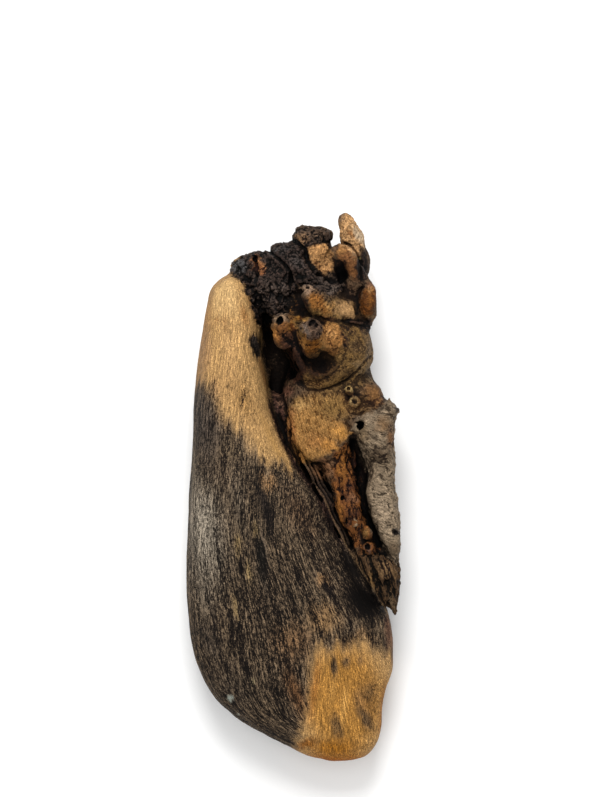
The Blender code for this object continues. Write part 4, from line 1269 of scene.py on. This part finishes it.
class Nodes:
    """Adds shader nodes and links in a few words."""

    def __init__(self, tree):
        self.tree = tree

    def add(self, kind, **settings):
        made = self.tree.nodes.new("ShaderNode" + kind)
        for name, value in settings.items():
            setattr(made, name, value)
        return made

    def kept(self, name, output):
        """What the mesh keeps under a name."""
        return self.add("Attribute", attribute_name=name).outputs[output]

    def link(self, source, target):
        self.tree.links.new(source, target)

    def fill(self, socket, value):
        if isinstance(value, bpy.types.NodeSocket):
            self.link(value, socket)
        else:
            socket.default_value = value

    def sum(self, operation, a, b=None, c=None):
        made = self.add("Math", operation=operation)
        for socket, value in zip(made.inputs, (a, b, c)):
            if value is not None:
                self.fill(socket, value)
        return made.outputs[0]

    def total(self, *parts):
        """Values added up, each times its weight."""
        value, weight = parts[0]
        added = self.sum("MULTIPLY", value, weight)
        for value, weight in parts[1:]:
            added = self.sum("MULTIPLY_ADD", value, weight, added)
        return added

    def mix(self, share, a, b):
        made = self.add("Mix", data_type="RGBA")
        self.fill(made.inputs[0], share)
        self.fill(made.inputs[6], a)
        self.fill(made.inputs[7], b)
        return made.outputs[2]

    def spread(self, value, low, high, to_low=0.0, to_high=1.0, kind="SMOOTHSTEP"):
        made = self.add("MapRange", interpolation_type=kind)
        for socket, number in zip(made.inputs, (value, low, high, to_low, to_high)):
            self.fill(socket, number)
        return made.outputs[0]

    def stretched(self, vector, scale):
        made = self.add("VectorMath", operation="MULTIPLY")
        self.fill(made.inputs[0], vector)
        self.fill(made.inputs[1], scale)
        return made.outputs[0]

    def noise(self, vector, scale, detail, roughness):
        made = self.add("TexNoise")
        for name, value in (("Vector", vector), ("Scale", scale), ("Detail", detail), ("Roughness", roughness)):
            self.fill(made.inputs[name], value)
        return made.outputs[0]


def effect(name, inputs, outputs):
    """An empty node group with its sockets, as (kind, name) pairs."""
    group = bpy.data.node_groups.new(name, "ShaderNodeTree")
    for kind, socket in inputs:
        group.interface.new_socket(socket, in_out="INPUT", socket_type="NodeSocket" + kind)
    for kind, socket in outputs:
        group.interface.new_socket(socket, in_out="OUTPUT", socket_type="NodeSocket" + kind)
    nodes = Nodes(group)
    return group, nodes, group.nodes.new("NodeGroupInput"), group.nodes.new("NodeGroupOutput")


def around_nought(nodes, value):
    """A noise's value spread evenly about nought."""
    return nodes.sum("MULTIPLY", nodes.sum("SUBTRACT", value, 0.5), NOISE_SPREAD)


def streaks_group():
    """Streaks, fine lines and short dashes along the grain, each around nought."""
    names = ("Broad", "Fine", "Dashes")
    group, nodes, taken, given = effect("wood_streaks", [("Vector", "Way")], [("Float", name) for name in names])
    way = taken.outputs["Way"]
    kinds = (((0.22, 0.02, 0.22), 3.0, 0.6), ((1.5, 0.085, 1.5), 3.0, 0.75), ((1.95, 0.42, 1.95), 2.0, 0.7))
    for name, (scale, detail, roughness) in zip(names, kinds):
        value = nodes.noise(nodes.stretched(way, scale), 1.0, detail, roughness)
        nodes.link(around_nought(nodes, value), given.inputs[name])
    return group


def crumbs_group():
    """Mottling that has no direction, coarse, fine and finest, each around nought."""
    names = ("Coarse", "Fine", "Dust")
    group, nodes, taken, given = effect("wood_crumbs", [("Vector", "Place")], [("Float", name) for name in names])
    for name, scale, detail in zip(names, (320.0, 800.0, 1900.0), (4.0, 3.0, 2.0)):
        value = nodes.noise(taken.outputs["Place"], scale, detail, 0.62)
        nodes.link(around_nought(nodes, value), given.inputs[name])
    return group


def placed(nodes, group, vector):
    """A group with its vector linked, as its outputs."""
    made = nodes.add("Group")
    made.node_tree = group
    nodes.link(vector, made.inputs[0])
    return made.outputs


def toned(nodes, amount, ripple, vary, dark, light):
    """Dark and light tone mixed, each lighter and darker with the ripple."""
    tone = nodes.mix(amount, dark, light)
    strength = nodes.sum("POWER", 2.718, nodes.sum("MULTIPLY", ripple, vary))
    shade = nodes.add("VectorMath", operation="SCALE")
    nodes.link(tone, shade.inputs[0])
    nodes.link(strength, shade.inputs["Scale"])
    return shade.outputs[0]


def bumped(nodes, along, about, grain, plain, bark):
    """The normal that streaks and crumbs leave, stronger on bark."""
    barky = nodes.sum("MULTIPLY", plain, nodes.spread(bark, 0.0, 1.0, 0.6, 1.1))
    height = nodes.sum("MULTIPLY_ADD", nodes.sum("MULTIPLY", along, 0.45), grain, nodes.sum("MULTIPLY", about, barky))
    bump = nodes.add("Bump")
    bump.inputs["Strength"].default_value = BUMP_STRENGTH
    bump.inputs["Distance"].default_value = BUMP_HEIGHT * MM
    nodes.link(height, bump.inputs["Height"])
    return bump.outputs[0]


def wood_material(streaks, crumbs):
    """Two tones to each point, mixed by streaks along the grain and crumbs where there is none."""
    material = bpy.data.materials.new("weathered burl wood")
    material.use_nodes = True
    nodes = Nodes(material.node_tree)
    surface = material.node_tree.nodes["Principled BSDF"]
    dark, light, marks = (nodes.kept(name, "Color") for name in ("dark_tone_with_shade", "light_tone_with_shade", "marks"))
    parts = nodes.add("SeparateColor")
    nodes.link(marks, parts.inputs[0])
    share, vary, grain = parts.outputs
    bark = nodes.kept("bark", "Fac")
    broad, fine, dashes = placed(nodes, streaks, nodes.kept("way", "Vector"))
    coarse, grit, dust = placed(nodes, crumbs, nodes.add("TexCoord").outputs["Object"])
    plain = nodes.sum("SUBTRACT", 1.0, grain)

    # how high the pattern stands against the level that the light share sets
    along = nodes.total((broad, 0.34), (dashes, 0.55), (fine, 0.42), (dust, 0.3))
    about = nodes.total((grit, 0.5), (dust, 0.35), (coarse, 0.5))
    pattern = nodes.sum("MULTIPLY_ADD", along, grain, nodes.sum("MULTIPLY", about, plain))
    level = nodes.spread(share, 0.0, 1.0, 1.5, -1.5, "LINEAR")
    amount = nodes.spread(nodes.sum("SUBTRACT", pattern, level), -0.55, 0.55)

    # lighter and darker within each tone
    lined = nodes.sum("MULTIPLY_ADD", dust, 0.85, nodes.sum("MULTIPLY_ADD", dashes, 0.8, fine))
    dotted = nodes.sum("MULTIPLY_ADD", dust, 0.9, grit)
    ripple = nodes.sum("MULTIPLY_ADD", lined, grain, nodes.sum("MULTIPLY", dotted, plain))

    dull = nodes.sum("MULTIPLY_ADD", bark, -0.22, nodes.sum("MULTIPLY_ADD", amount, -0.10, 0.78))
    nodes.link(toned(nodes, amount, ripple, vary, dark, light), surface.inputs["Base Color"])
    nodes.link(dull, surface.inputs["Roughness"])
    nodes.link(bumped(nodes, along, about, grain, plain, bark), surface.inputs["Normal"])
    surface.inputs["Specular IOR Level"].default_value = WOOD_GLEAM
    return material


# --- the room


# Lamps: name, place, size in metres and power; what they shine at
LAMPS = (
    ("window", (-0.05, 0.80, 1.05), 0.5, 13.0),
    ("overhead", (-0.25, 0.05, 1.5), 0.9, 4.5),
)
LIT_PLACE = (0, 0, 0.03)
ROOM_LIGHT = 0.72
FLOOR_SIZE = 6.0


def pale_floor():
    """A wide sheet of dull white paper under the wood."""
    bpy.ops.object.select_all(action="DESELECT")
    bpy.ops.mesh.primitive_plane_add(size=FLOOR_SIZE, location=(0, 0, 0))
    floor = bpy.context.object
    floor.name = "pale_floor"
    paper = bpy.data.materials.new("pale paper")
    paper.use_nodes = True
    sheet = paper.node_tree.nodes["Principled BSDF"]
    sheet.inputs["Base Color"].default_value = (0.93, 0.93, 0.925, 1)
    sheet.inputs["Roughness"].default_value = 0.9
    sheet.inputs["Specular IOR Level"].default_value = 0.1
    floor.data.materials.append(paper)


def soft_light():
    """Even light from the room, a lamp beyond the crown and a weak one overhead."""
    world = bpy.data.worlds.new("soft room")
    world.use_nodes = True
    background = world.node_tree.nodes["Background"]
    background.inputs["Color"].default_value = (1, 1, 1, 1)
    background.inputs["Strength"].default_value = ROOM_LIGHT
    bpy.context.scene.world = world
    for name, place, size, power in LAMPS:
        lamp = bpy.data.lights.new(name, "AREA")
        lamp.shape = "SQUARE"
        lamp.size = size
        lamp.energy = power
        stand = bpy.data.objects.new(name, lamp)
        stand.location = place
        stand.rotation_mode = "QUATERNION"
        stand.rotation_quaternion = (Vector(LIT_PLACE) - Vector(place)).to_track_quat("-Z", "Y")
        bpy.context.scene.collection.objects.link(stand)


def camera_above():
    """The front view's camera, straight above the wood."""
    lens = bpy.data.cameras.new("front view")
    lens.lens = VIEW_LENS
    lens.sensor_width = VIEW_SENSOR
    camera = bpy.data.objects.new("front view", lens)
    camera.location = Vector((*VIEW_MIDDLE, VIEW_PLANE + VIEW_DISTANCE)) * MM
    bpy.context.scene.collection.objects.link(camera)
    bpy.context.scene.camera = camera
    bpy.context.scene.view_settings.view_transform = "Standard"


def studio():
    """Pale floor, soft light from beyond the crown, and the camera above."""
    pale_floor()
    soft_light()
    camera_above()


def main():
    """Lays out the room, shapes and colours the wood, and says what it stands for."""
    studio()
    wood = coloured(shaped_wood())
    wood.data.materials.clear()
    wood.data.materials.append(wood_material(streaks_group(), crumbs_group()))
    wood.data.shade_smooth()
    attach(wood, "root")
    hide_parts(NODE)


main()
